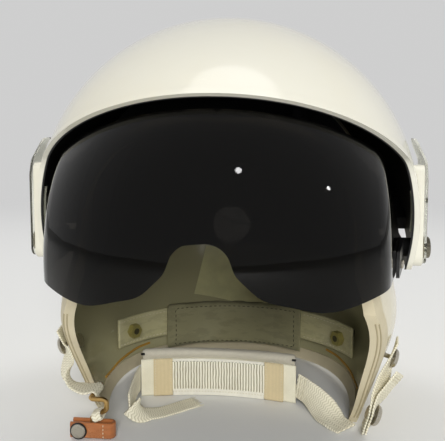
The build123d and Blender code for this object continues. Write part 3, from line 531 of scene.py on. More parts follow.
@dataclass(frozen=True)
class Cloth(Finish):
    """Plain fine cloth or felt on a shaped pad, from object coordinates."""

    sheen: float = 0.12
    depth: float = 0.00012
    thread: float = 0.0007
    thread_share: float = 0.2
    thread_shade: float = 0.62
    slub: Mark = Mark(420.0, dull=0.1, rise=0.8)
    slub_share: float = 0.25

    def wear(self) -> tuple[Mark, ...]:
        """Slubs and stains."""
        return (self.slub, Mark(24.0, (0.45, 0.75), 4.0, tint=0.3, shade=0.7))

    def ground(self, graph: Graph, spot: Socket) -> tuple[Any, Any]:
        """Threads crossed in three directions, darker in the slubs."""
        x, y, z = ((one * (math.tau / self.thread)).sine() for one in graph.axes(spot))
        height = (x * z + y * 0.5) * 0.5 + 0.5
        share = height * self.thread_share + self.slub.over(graph, spot) * self.slub_share
        return graph.mix(share, self.colour, self.darker(self.thread_shade)), height


@dataclass(frozen=True)
class Foam(Finish):
    """Rigid bead foam: small cells pressed together, dusty in the joints."""

    depth: float = 0.0002
    bead: float = 330.0

    def wear(self) -> tuple[Mark, ...]:
        """Bead borders, dusty and then as grooves."""
        return (Mark(self.bead, feature="DISTANCE_TO_EDGE", tint=0.4, tint_levels=(0.12, 0.0), shade=0.6,
                     dull=-0.1),
                Mark(self.bead, (0.0, 0.2), feature="DISTANCE_TO_EDGE", rise=1.0))


COVER_WHITE = Enamel("cover_enamel", linear(224, 221, 206), 0.12, aged=linear(222, 212, 180))
SHELL_CREAM = ShellEnamel("shell_enamel", linear(218, 210, 184), 0.19, aged=linear(202, 188, 148), gloss=0.5,
                          brow_low=0.116, brow_front=0.02)
LENS_SMOKE = SmokeLens("smoked_lens", linear(34, 32, 29), 0.01)
ARM_BLACK = Finish("arm_black", linear(14, 14, 15), 0.24)
CLEAR = ClearPlastic("clear_plastic", linear(244, 244, 234), 0.1)
CLIP = ClearPlastic("clip_plastic", linear(190, 190, 170), 0.2, clarity=0.55)
NICKEL = MetalFinish("nickel", linear(196, 190, 176), 0.22)
STEEL = MetalFinish("steel", linear(170, 168, 162), 0.3, kind=Metal.BRUSHED)
OLIVE_BRASS = MetalFinish("olive_brass", linear(178, 168, 100), 0.34, kind=Metal.BRUSHED, metallic=0.5,
                          stain=linear(96, 92, 58))
DARK_BOLT = MetalFinish("dark_bolt", linear(92, 88, 64), 0.4, kind=Metal.BRUSHED, metallic=0.5,
                        stain=linear(40, 38, 26))
WORN_NICKEL = MetalFinish("worn_nickel", linear(148, 143, 128), 0.34, kind=Metal.TARNISHED,
                          stain=linear(70, 64, 52))
BRASS = MetalFinish("brass", linear(206, 170, 108), 0.26, kind=Metal.TARNISHED, stain=linear(120, 86, 50))
BINDING = Rubber("binding_vinyl", linear(205, 194, 164), 0.5)
# the ridges get a darker copy of the binding's vinyl as painted shade
SHADED_BINDING_RIDGE = Rubber("shaded_binding_ridge", linear(172, 160, 128), 0.5)
BLACK_RUBBER = Rubber("black_rubber", linear(22, 22, 22), 0.6)
FOAM = Foam("bead_foam", linear(58, 57, 54), 0.85)
LABEL = Finish("bare_label", linear(214, 210, 158), 0.34)
IVORY_HIDE = Hide("ivory_leather", linear(198, 192, 148), 0.5, rubbed=linear(208, 202, 164))
OLIVE_HIDE = Hide("olive_leather", linear(142, 138, 106), 0.5, rubbed=linear(152, 148, 118))
AMBER_GLUE = Finish("amber_glue", linear(186, 142, 62), 0.14)
PAD_HIDE = Hide("pad_leather", linear(40, 37, 33), 0.55, rubbed=linear(50, 46, 41))
TAN_HIDE = Hide("tan_leather", linear(166, 102, 58), 0.26, rubbed=linear(194, 130, 82), grain=1100.0)
WEBBING = Weave("cream_webbing", linear(250, 245, 222), 0.8, between=0.5, soil_and_hollow_shade=linear(160, 148, 108))
ELASTIC = Weave("ivory_elastic", linear(248, 244, 222), 0.75, pick=0.0016, rake=0.0, raised=False,
                soil_and_hollow_shade=linear(176, 166, 130))
# the ribbed elastic's strong dark gaps between ribs are painted shade
ELASTIC_RIBS = Weave("ribbed_elastic", linear(255, 252, 234), 0.75, pick=0.0016, rake=0.0, between=0.85,
                     soil_and_hollow_shade=linear(128, 118, 86))
KEEPER = Cloth("tan_tape", linear(226, 208, 166), 0.85, thread=0.0006)
PAD_CLOTH = Cloth("grey_white_cloth", linear(206, 200, 182), 0.85)
HEM_CLOTH = Cloth("white_hem", linear(246, 242, 226), 0.8)
DARK_THREAD = Cloth("dark_thread", linear(58, 54, 38), 0.8, thread=0.0004)
THREAD = Cloth("cotton_thread", linear(228, 220, 192), 0.8, thread=0.0004)


# ---- Meshes


def linked(name: str, data: Any) -> bpy.types.Object:
    """A new object in the scene."""
    made = bpy.data.objects.new(name, data)
    bpy.context.scene.collection.objects.link(made)
    return made


def pointed(name: str, data: Any, spot: Point, way: Vector) -> bpy.types.Object:
    """A camera or lamp that stands at a spot and looks along a way."""
    made = linked(name, data)
    made.location = spot
    made.rotation_mode = "QUATERNION"
    made.rotation_quaternion = way.to_track_quat("-Z", "Y")
    return made


def cleaned(mesh: bpy.types.Mesh) -> None:
    """Merge a mesh's doubled points, turn its faces outwards and shade them smoothly."""
    draft = bmesh.new()
    draft.from_mesh(mesh)
    bmesh.ops.remove_doubles(draft, verts=draft.verts, dist=MERGE)
    bmesh.ops.recalc_face_normals(draft, faces=draft.faces)
    for face in draft.faces:
        face.smooth = True
    draft.to_mesh(mesh)
    draft.free()


def rounded(spot: Vector) -> Point:
    """A place as a key that rounding can't split."""
    return tuple(round(part, PLACES) for part in spot)


def ray_tree(mesh: bpy.types.Mesh) -> BVHTree:
    """A mesh's faces, ready for rays."""
    return BVHTree.FromPolygons([v.co for v in mesh.vertices], [p.vertices for p in mesh.polygons])


def curve_through(points: Sequence[Vector], step: float, closed: bool = False) -> list[Vector]:
    """Points on a smooth line through guides, spaced by about a step."""
    ends = [points[-1], *points, points[0], points[1]] if closed else [
        points[0] * 2 - points[1], *points, points[-1] * 2 - points[-2]]
    line: list[Vector] = []
    for index in range(1, len(ends) - 2):
        before, start, end, after = ends[index - 1:index + 3]
        count = max(2, round((end - start).length / step))
        for part in range(count):
            t = part / count
            bend = (2 * before - 5 * start + 4 * end - after) * t * t
            line.append(0.5 * ((2 * start) + (end - before) * t + bend
                               + (3 * start - before - 3 * end + after) * t ** 3))
    if not closed:
        line.append(points[-1].copy())
    return line


def settle(obj: bpy.types.Object) -> None:
    """Turn an object's modifiers into its plain mesh, then remove them."""
    graph = bpy.context.evaluated_depsgraph_get()
    mesh = bpy.data.meshes.new_from_object(obj.evaluated_get(graph), preserve_all_data_layers=True,
                                           depsgraph=graph)
    obj.modifiers.clear()
    obj.data = mesh


class Station(NamedTuple):
    """One step along a ribbon."""

    spot: Vector
    side: Vector
    out: Vector
    run: float
    share: float


@dataclass
class Ribbon:
    """A flat strap along a smooth route, with rounded edges and, where woven, raised cross ribs.

    Sizes are in millimetres; sides gives the direction of the width at each point of the route.
    """

    name: str
    route: Sequence[Point]
    sides: Sequence[Point]
    width: float
    wall: float
    finish: Finish
    ribs: "Recipe | None" = None
    rib_pitch: float = 1.8
    rib_height: float = 0.34
    wander: float = 0.0
    step: float = 0.42
    columns: int = 24
    closed: bool = False
    widths: Sequence[float] = ()
    round_reach: float = 1.2
    round_start: float = 0.35
    row_steps: int = 12

    def stations(self) -> list[Station]:
        """Place, width direction, outward direction, length so far and width share at each step."""
        line = curve_through(mm(self.route), self.step * MM, self.closed)
        stops = list(self.route) + ([self.route[0]] if self.closed else [])
        sides = list(self.sides) + ([self.sides[0]] if self.closed else [])
        shares = list(self.widths) or [1.0] * len(stops)
        marks = [0.0]
        for before, after in zip(stops, stops[1:]):
            marks.append(marks[-1] + (Vector(after) - Vector(before)).length * MM)
        made, run = [], 0.0
        for index, spot in enumerate(line):
            if index:
                run += (spot - line[index - 1]).length
            after = line[(index + 1) % len(line)] if self.closed else line[min(index + 1, len(line) - 1)]
            before = line[index - 1] if self.closed or index else line[0]
            along = (after - before).normalized()
            at = min(run, marks[-1])
            piece = max(i for i in range(len(marks) - 1) if marks[i] <= at + TINY)
            t = (at - marks[piece]) / max(marks[piece + 1] - marks[piece], TINY)
            side = Vector(sides[piece]).normalized().lerp(Vector(sides[piece + 1]).normalized(), t)
            side = (side - along * side.dot(along)).normalized()
            share = shares[piece] + (shares[piece + 1] - shares[piece]) * t
            made.append(Station(spot, side, side.cross(along).normalized(), run, share))
        return made

    def on_face(self, one: Station, across: float, lift: float, face: float) -> Vector:
        """A point over one face, at a share of the half width."""
        return (one.spot + one.side * (self.width * one.share * across / 2 * MM)
                + one.out * face * (self.wall / 2 + lift) * MM)

    def row(self, place: float, reach: float = 0.8, lift: float = 0.15, face: float = 1.0) -> list[Vector]:
        """Points across one face at a share of the length, for a bar of stitches."""
        made = self.stations()
        one = made[min(int(place * len(made)), len(made) - 1)]
        return [self.on_face(one, across, lift, face) for across in spread(-reach, reach, self.row_steps)]

    def edge(self, reach: float, first: float = 0.0, last: float = 1.0, lift: float = 0.15,
             face: float = 1.0) -> list[Vector]:
        """Points along one face at a share of the half width, for a lengthwise seam."""
        made = self.stations()
        low, high = int(first * len(made)), int(last * len(made))
        return [self.on_face(one, reach, lift, face) for one in made[low:high]]

    def inward(self, at: float = 0.0) -> float:
        """Which face looks towards the front, at a share of the length."""
        made = self.stations()
        return 1.0 if made[int(at * len(made))].out.y < 0 else -1.0

    def build(self) -> bpy.types.Object:
        """The strap as one closed mesh with a UV map in metres."""
        stations = self.stations()
        half, thick = self.width * MM / 2, self.wall * MM / 2
        raised = self.rib_height * MM if self.ribs else 0.0
        profile = spread(-half, half, self.columns)
        verts, facts = [], []
        for one in stations:
            for face in (1, -1):
                for across in profile if face > 0 else reversed(profile):
                    rim = min(1.0, (half - abs(across)) / (self.round_reach * thick) + self.round_start)
                    verts.append(one.spot + one.side * across * one.share
                                 + one.out * face * (thick - raised) * rim)
                    facts.append(((across, one.run), rim, one.run + self.finish.slant(across)))
        mesh = bpy.data.meshes.new(self.name)
        mesh.from_pydata([tuple(v) for v in verts], [], self.faces(len(stations)))
        cleaned(mesh)
        mesh.materials.append(self.finish.material())
        made = linked(self.name, mesh)
        seen = {rounded(spot): fact for spot, fact in zip(verts, facts)}
        found = [seen.get(rounded(vertex.co), ((0.0, 0.0), 0.0, 0.0)) for vertex in mesh.vertices]
        layer = mesh.uv_layers.new(name="UVMap")
        for name, values in (("rise", [rim * raised for _, rim, _ in found]),
                             ("along", [along for _, _, along in found])):
            mesh.attributes.new(name, "FLOAT", "POINT").data.foreach_set("value", values)
        for loop in mesh.loops:
            layer.data[loop.index].uv = found[loop.vertex_index][0]
        if self.ribs:
            self.ribs.run(made, Pitch=self.rib_pitch * MM, Wander=self.wander, Finish=self.finish.material())
        return made

    def faces(self, rows: int) -> list[tuple[int, int, int, int]]:
        """Faces between the rings of points, and across both ends where the strap is open."""
        ring = 2 * (self.columns + 1)
        made = []
        for row in range(rows if self.closed else rows - 1):
            for col in range(ring):
                nxt, up = (col + 1) % ring, (row + 1) % rows
                made.append((row * ring + col, row * ring + nxt, up * ring + nxt, up * ring + col))
        last = (rows - 1) * ring
        for col in range(0 if self.closed else self.columns):
            other = ring - 2 - col
            made.append((col, col + 1, other, other + 1))
            made.append((last + col + 1, last + col, last + other + 1, last + other))
        return made


# ---- Geometry Nodes


class Recipe(Graph):
    """A Geometry Nodes tree built in the script, with named inputs."""

    KINDS = {float: "NodeSocketFloat", int: "NodeSocketInt", tuple: "NodeSocketVector"}

    def __init__(self, name: str, **values: Any) -> None:
        """Start the tree with its geometry, its named inputs with their usual values, and its finish."""
        super().__init__(bpy.data.node_groups.new(name, "GeometryNodeTree"))
        face = self.tree.interface
        for way in ("INPUT", "OUTPUT"):
            face.new_socket("Geometry", in_out=way, socket_type="NodeSocketGeometry")
        for label, value in values.items():
            made = face.new_socket(label, in_out="INPUT", socket_type=self.KINDS[type(value)])
            made.default_value = value
        face.new_socket("Finish", in_out="INPUT", socket_type="NodeSocketMaterial")
        start = self.tree.nodes.new("NodeGroupInput")
        self.given = {one.name: Socket(self, one) for one in start.outputs}

    def line(self) -> Socket:
        """The guide's edges as a curve."""
        return self.add("GeometryNodeMeshToCurve", None, {0: self.given["Geometry"]})

    def drawn(self, kind: str, low: Any, high: Any) -> Socket:
        """A value drawn for each point, from the recipe's seed."""
        return self.add("FunctionNodeRandomValue", {"data_type": kind}, {
            "Min": low, "Max": high, "Seed": self.given["Seed"]}, "Value")

    def laid(self, piece: Socket, axis: str, way: Socket, swing: Socket, **more: Socket) -> Socket:
        """Copies of a piece along the guide, an axis turned along a way, then swung."""
        points = self.add("GeometryNodeResampleCurve", {"mode": "LENGTH"}, {
            "Curve": self.line(), "Length": self.given["Pitch"]})
        turned = self.add("FunctionNodeAlignRotationToVector", {"axis": axis}, {"Vector": way})
        rotated = self.add("FunctionNodeRotateRotation", {"rotation_space": "LOCAL"}, {
            "Rotation": turned, "Rotate By": swing})
        return self.add("GeometryNodeInstanceOnPoints", None, {
            "Points": points, "Instance": piece, "Rotation": rotated, **more})

    def finished(self, shape: Socket) -> "Recipe":
        """Shade the shape smoothly, make its copies real and paint it."""
        smooth = self.add("GeometryNodeSetShadeSmooth", None, {"Geometry": shape})
        real = self.add("GeometryNodeRealizeInstances", None, {0: smooth})
        self.end("NodeGroupOutput", self.add("GeometryNodeSetMaterial", None, {
            "Geometry": real, "Material": self.given["Finish"]}))
        return self

    def run(self, obj: bpy.types.Object, **values: Any) -> bpy.types.Object:
        """Apply the tree to an object and leave a plain mesh.

        Args:
            obj: the guide that carries the modifier.
            **values: the tree's named inputs.

        Returns:
            The same object, now the finished mesh.
        """
        modifier = obj.modifiers.new("recipe", "NODES")
        modifier.node_group = self.tree
        sockets = {item.name: item.identifier for item in self.tree.interface.items_tree
                   if item.in_out == "INPUT"}
        for label, value in values.items():
            modifier[sockets[label]] = value
        settle(obj)
        return obj


def stitch_recipe() -> Recipe:
    """Threads laid one after another along a guide line."""
    made = Recipe("stitch_line", Pitch=0.003, Length=0.002, Radius=0.0003, Wander=0.08, Seed=3)
    given = made.given
    ball = made.add("GeometryNodeMeshIcoSphere", None, {"Radius": 0.5, "Subdivisions": 2})
    thick = given["Radius"] * 2.0
    thread = made.add("GeometryNodeTransform", None, {
        "Geometry": ball, "Scale": made.vector(given["Length"], thick, thick)})
    swing = made.vector(z=made.drawn("FLOAT", given["Wander"] * -1.0, given["Wander"]))
    return made.finished(made.laid(thread, "X", made.add("GeometryNodeInputTangent"), swing))


def bead_recipe() -> Recipe:
    """A round bead swept along a guide line, for ridges and rings."""
    made = Recipe("swept_bead", Radius=0.0005, Sides=8)
    ring = made.add("GeometryNodeCurvePrimitiveCircle", None, {
        "Resolution": made.given["Sides"], "Radius": made.given["Radius"]})
    return made.finished(made.add("GeometryNodeCurveToMesh", None, {
        "Curve": made.line(), "Profile Curve": ring, "Fill Caps": True}))


def rib_recipe() -> Recipe:
    """Cross ribs raised on a strap, from its length so far and how much each point may rise."""
    made = Recipe("cross_ribs", Pitch=0.0017, Wander=0.0)
    given = made.given
    along = made.add("GeometryNodeInputNamedAttribute", {"data_type": "FLOAT"}, {"Name": "along"})
    rise = made.add("GeometryNodeInputNamedAttribute", {"data_type": "FLOAT"}, {"Name": "rise"})
    uneven = made.add("ShaderNodeTexNoise", None, {"Scale": 190.0, "Detail": 2.0})
    turns = along / given["Pitch"] + (uneven - 0.5) * given["Wander"]
    crest = (turns * math.tau).cosine() * 0.5 + 0.5
    offset = made.add("ShaderNodeVectorMath", {"operation": "SCALE"}, {
        0: made.add("GeometryNodeInputNormal"), "Scale": crest * rise})
    moved = made.add("GeometryNodeSetPosition", None, {"Geometry": given["Geometry"], "Offset": offset})
    return made.finished(made.add("GeometryNodeStoreNamedAttribute", {
        "data_type": "FLOAT", "domain": "POINT"}, {"Geometry": moved, "Name": "crest", "Value": crest}))


def fray_recipe() -> Recipe:
    """Loose threads of uneven length that stand out of a cut end."""
    made = Recipe("frayed_end", Pitch=0.0005, Length=0.004, Radius=0.00012, Aim=(1.0, 0.0, 0.0),
                  Spread=0.5, Seed=7)
    given = made.given
    rod = made.add("GeometryNodeMeshCylinder", None, {
        "Vertices": 5, "Side Segments": 3, "Radius": given["Radius"], "Depth": given["Length"]})
    thread = made.add("GeometryNodeTransform", None, {
        "Geometry": rod, "Translation": made.vector(z=given["Length"] * 0.4)})
    wide = given["Spread"]
    tight = wide * -1.0
    lean = made.drawn("FLOAT_VECTOR", made.vector(tight, tight, tight), made.vector(wide, wide, wide))
    return made.finished(made.laid(thread, "Z", given["Aim"], lean,
                                   Scale=made.vector(1.0, 1.0, made.drawn("FLOAT", 0.35, 1.0))))


def guide_line(name: str, points: Sequence[Vector], closed: bool = False) -> bpy.types.Object:
    """A line of edges for a recipe to follow."""
    mesh = bpy.data.meshes.new(name)
    edges = [(i, i + 1) for i in range(len(points) - 1)] + ([(len(points) - 1, 0)] if closed else [])
    mesh.from_pydata([tuple(p) for p in points], edges, [])
    return linked(name, mesh)


class Thread(NamedTuple):
    """Sizes of one kind of stitch, in millimetres."""

    pitch: float
    length: float
    radius: float


TACK = Thread(1.25, 1.5, 0.28)
HEM_ROW = Thread(2.2, 1.5, 0.22)
UPPER_ROW = Thread(2.6, 1.2, 0.16)
KEEPER_ROW = Thread(2.0, 1.4, 0.25)
ROLL_END = Thread(0.8, 1.6, 0.9)
BAND_ROW = Thread(3.4, 2.3, 0.3)
PAD_ROW = Thread(4.2, 2.7, 0.34)
HOOK_ROW = Thread(1.3, 1.6, 0.25)
TAB_ROW = Thread(2.2, 1.5, 0.28)


@dataclass
class Sewing:
    """Stitches, beads, ribs and frayed ends, made with the recipes."""

    stitches: Recipe = field(default_factory=stitch_recipe)
    beads: Recipe = field(default_factory=bead_recipe)
    ribs: Recipe = field(default_factory=rib_recipe)
    fray: Recipe = field(default_factory=fray_recipe)

    def stitch(self, name: str, points: Sequence[Vector], body: str, slot: str, kind: Thread,
               finish: Finish = THREAD, closed: bool = False) -> None:
        """A row of stitches of one kind along points."""
        made = self.stitches.run(guide_line(name, points, closed), Pitch=kind.pitch * MM,
                                 Length=kind.length * MM, Radius=kind.radius * MM, Finish=finish.material())
        placed(made, body, slot)

    def bead(self, name: str, points: Sequence[Vector], body: str, slot: str, finish: Finish,
             closed: bool = False, radius: float = 0.5) -> None:
        """A bead along points, its radius in millimetres."""
        made = self.beads.run(guide_line(name, points, closed), Radius=radius * MM, Finish=finish.material())
        placed(made, body, slot)

    def threads(self, name: str, points: Sequence[Vector], aim: Vector, body: str, slot: str) -> None:
        """Loose threads out of a cut end."""
        made = self.fray.run(guide_line(name, points), Aim=tuple(aim), Finish=THREAD.material())
        placed(made, body, slot)


def placed(obj: bpy.types.Object, body: str, slot: str, *nodes: str) -> None:
    """Ride a piece on its body and hide the nodes that it stands for."""
    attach(obj, body)
    if nodes:
        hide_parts(*nodes)
    LOG.info("%s: %d faces on %s", obj.name, len(obj.data.polygons), body)


# ---- Padded pieces


def from_middle(spot: Vector) -> Vector:
    """Outward direction from the middle of the head."""
    return (spot - Vector(HEAD_MIDDLE)).normalized()


def rearward(spot: Vector) -> Vector:
    """Outward direction of the nape band, level and away from its centre."""
    return Vector((spot.x, spot.y - NAPE_CENTRE, 0)).normalized()


def no_way(_: Vector) -> Vector:
    """No direction, for a pad that may swell to all sides."""
    return Vector((0, 0, 0))


@dataclass
class Pad:
    """A stuffed or foam piece blown up from its solid by a cloth simulation, sizes in millimetres."""

    name: str
    node: str
    body: str
    slot: str
    finish: Finish
    fill: float = 0.7
    voxel: float = 3.4
    swell: float = 2.0
    shrink: float = 0.5
    outward: Callable[[Vector], Vector] = no_way
    pressure: float = 4.0
    mass: float = 0.2
    quality: int = 4
    ease_turns: int = 3
    ease_share: float = 0.4
    start: list[Vector] = field(default_factory=list)
    obj: bpy.types.Object | None = None

    def cut(self) -> None:
        """Remesh a slightly shrunk copy of the solid and put cloth on it."""
        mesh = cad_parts[self.node].data.copy()
        mesh.name = self.name
        cleaned(mesh)
        self.obj = linked(self.name, mesh)
        remesh = self.obj.modifiers.new("remesh", "REMESH")
        remesh.mode = "VOXEL"
        remesh.voxel_size = self.voxel * MM
        settle(self.obj)
        ease = self.obj.modifiers.new("ease", "SMOOTH")
        ease.iterations = self.ease_turns
        ease.factor = self.ease_share
        slim = self.obj.modifiers.new("slim", "DISPLACE")
        slim.strength = -self.shrink * MM
        slim.mid_level = 0.0
        settle(self.obj)
        self.start = [v.co.copy() for v in self.obj.data.vertices]
        cloth = self.obj.modifiers.new("cloth", "CLOTH").settings
        cloth.use_pressure = True
        cloth.uniform_pressure_force = self.pressure
        cloth.effector_weights.gravity = 0.0
        cloth.quality = self.quality
        cloth.mass = self.mass

    def finish_up(self) -> None:
        """Take the blown shape, cap how far points moved, and smooth it once."""
        settle(self.obj)
        for vertex, old in zip(self.obj.data.vertices, self.start):
            move = vertex.co - old
            away = self.outward(old)
            if move.dot(away) > 0:
                move -= away * move.dot(away)
            if move.length > self.swell * MM:
                move = move.normalized() * self.swell * MM
            vertex.co = old + move
        smooth = self.obj.modifiers.new("smooth", "SUBSURF")
        smooth.levels = smooth.render_levels = 1
        settle(self.obj)
        mesh = self.obj.data
        mesh.materials.clear()
        mesh.materials.append(self.finish.material())
        for face in mesh.polygons:
            face.use_smooth = True
        placed(self.obj, self.body, self.slot, self.node)

    def surface(self, points: Sequence[Vector], aim: Callable[[Vector], Vector], lift: float) -> list[Vector]:
        """Drop guide points on to the pad.

        Args:
            points: guides that lie off the pad.
            aim: the way towards it from a guide.
            lift: how far over the skin the points end, in millimetres.

        Returns:
            The points that met the pad.
        """
        tree = ray_tree(self.obj.data)
        hits = (tree.ray_cast(point, aim(point).normalized(), RAY_REACH) for point in points)
        return [spot + normal * lift * MM for spot, normal, _, _ in hits if spot is not None]


def simulate(pads: Sequence[Pad], frames: int = 20) -> None:
    """Run all the pads' cloth together, then finish each."""
    for pad in pads:
        pad.cut()
    for step in range(1, frames + 1):
        bpy.context.scene.frame_set(step)
    for pad in pads:
        pad.finish_up()
    bpy.context.scene.frame_set(1)


# ---- Sub-assemblies


@dataclass
class RigidParts:
    """Finishes of the solids whose shapes are right as they are."""

    finishes: dict[str, Finish] = field(default_factory=lambda: {
        "visor_cover": COVER_WHITE, "inner_shell": SHELL_CREAM, "edge_binding": BINDING,
        "foam_liner": FOAM, "rubber_bumper": BLACK_RUBBER, "cover_seal": BLACK_RUBBER,
        "cover_screw": STEEL, "guide_clip": CLIP, "side_guard": CLEAR, "guard_screw": STEEL,
        "pivot_stud": STEEL, "shell_spacer": BLACK_RUBBER, "cover_spacer": BLACK_RUBBER,
        "brass_washer": BRASS, "nape_nut": OLIVE_BRASS, "nape_bolt": DARK_BOLT, "nape_standoff": BLACK_RUBBER,
        "bare_label": LABEL, "strap_anchor": NICKEL, "visor_lens": LENS_SMOKE, "visor_arm": ARM_BLACK,
        "arm_rivet": NICKEL, "lock_knob": WORN_NICKEL, "right_snap": NICKEL, "double_hook": BRASS,
        "tab_snap": NICKEL})

    def dress(self) -> None:
        """Give each carried-over node its material."""
        for name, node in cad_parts.items():
            base = name.removesuffix("_right").removesuffix("_left")
            finish = self.finishes.get(name) or self.finishes.get(base)
            if finish is None:
                continue
            node.data.materials.clear()
            node.data.materials.append(finish.material())
            LOG.info("%s: %s", name, finish.name)


@dataclass
class SoftGoods:
    """What the strap sub-assemblies share: the sewing and one way to lay a ribbon."""

    sewing: Sewing

    def ribbon(self, name: str, body: str, slot: str, route: Sequence[Point], sides: Sequence[Point],
               *nodes: str, width: float = 19.0, wall: float = 1.6, finish: Finish = WEBBING,
               ribbed: bool = True, **sizes: Any) -> Ribbon:
        """Lay one ribbon on its body in place of its nodes.

        Args:
            name: the piece's name.
            body: the body that it rides on.
            slot: its material slot, not used.
            route: its middle line, in millimetres.
            sides: the direction of its width at each point of the route.
            *nodes: the CAD nodes that it stands for.
            width: its width.
            wall: its thickness.
            finish: its finish.
            ribbed: whether cross ribs are raised on it.
            **sizes: other fields of the ribbon.

        Returns:
            The ribbon, for seams that follow it.
        """
        made = Ribbon(name, route, sides, width, wall, finish,
                      ribs=self.sewing.ribs if ribbed else None, **sizes)
        placed(made.build(), body, slot, *nodes)
        return made

    def tacks(self, strap: Ribbon, body: str, places: Sequence[float], face: float) -> None:
        """Bars of close stitches across a webbing."""
        for index, place in enumerate(places):
            self.sewing.stitch(f"{strap.name}_tack_{index}", strap.row(place, face=face), body, "webbing",
                               TACK)


@dataclass
class SideStraps(SoftGoods):
    """The doubled strap with its press stud and the single one that carries the hook."""

    inner: Sequence[Point] = ((118.21, -27.28, 62.0), (114.22, -27.28, 50.0), (109.6, -29.56, 36.56),
                              (104.76, -32.98, 24.56), (99.7, -34.31, 13.52), (95.3, -34.31, 2.0))
    outer: Sequence[Point] = ((119.92, -29.78, 39.6), (107.61, -32.98, 24.56), (101.79, -34.31, 13.52),
                              (97.3, -34.31, 2.0))
    left: Sequence[Point] = ((-118.21, -27.28, 62.0), (-114.22, -27.28, 50.0), (-111.3, -32.03, 41.2),
                             (-108.5, -38.68, 33.68), (-101.9, -44.76, 29.36), (-92.66, -48.56, 27.44))
    bar: Point = (-85.62, -48.56, 26.0)
    turn: float = 2.6
    inner_turns: Sequence[float] = (10, 20, 38, 38, 14, 8)
    outer_turns: Sequence[float] = (40, 38, 14, 8)
    left_turns: Sequence[float] = (-10, -20, -40, -40, -24, -8)
    left_widths: Sequence[float] = (1, 1, 1, 1, 0.96, 0.9)
    loop_width: float = 0.85
    loop_steps: int = 12
    loop_open: int = 2
    fold_tacks: Sequence[float] = (0.08, 0.14, 0.86)
    left_tacks: Sequence[float] = (0.5, 0.56)

    @staticmethod
    def turned(degrees: float) -> Point:
        """The width's direction, turned outwards from fore and aft."""
        angle = math.radians(degrees)
        return (math.sin(angle), math.cos(angle), 0.0)

    def build(self) -> None:
        """Both straps with their sewn ends."""
        self.ribbon("right_strap_web", "right_strap", "webbing", self.inner,
                    [self.turned(a) for a in self.inner_turns], "right_strap")
        fold = self.ribbon("right_fold_web", "right_strap", "webbing", self.outer,
                           [self.turned(a) for a in self.outer_turns], "right_strap_fold")
        self.tacks(fold, "right_strap", self.fold_tacks, -1.0)
        x, y, z = self.bar
        angles = spread(0.0, math.tau, self.loop_steps)[self.loop_open:-1]
        loop = [(x - self.turn * math.cos(a), y, z + self.turn * math.sin(a)) for a in angles]
        strap = self.ribbon("left_strap_web", "left_strap", "webbing", (*self.left, *loop),
                            [self.turned(a) for a in (*self.left_turns, *[0.0] * len(loop))], "left_strap",
                            widths=(*self.left_widths, *[self.loop_width] * len(loop)))
        self.tacks(strap, "left_strap", self.left_tacks, 1.0)


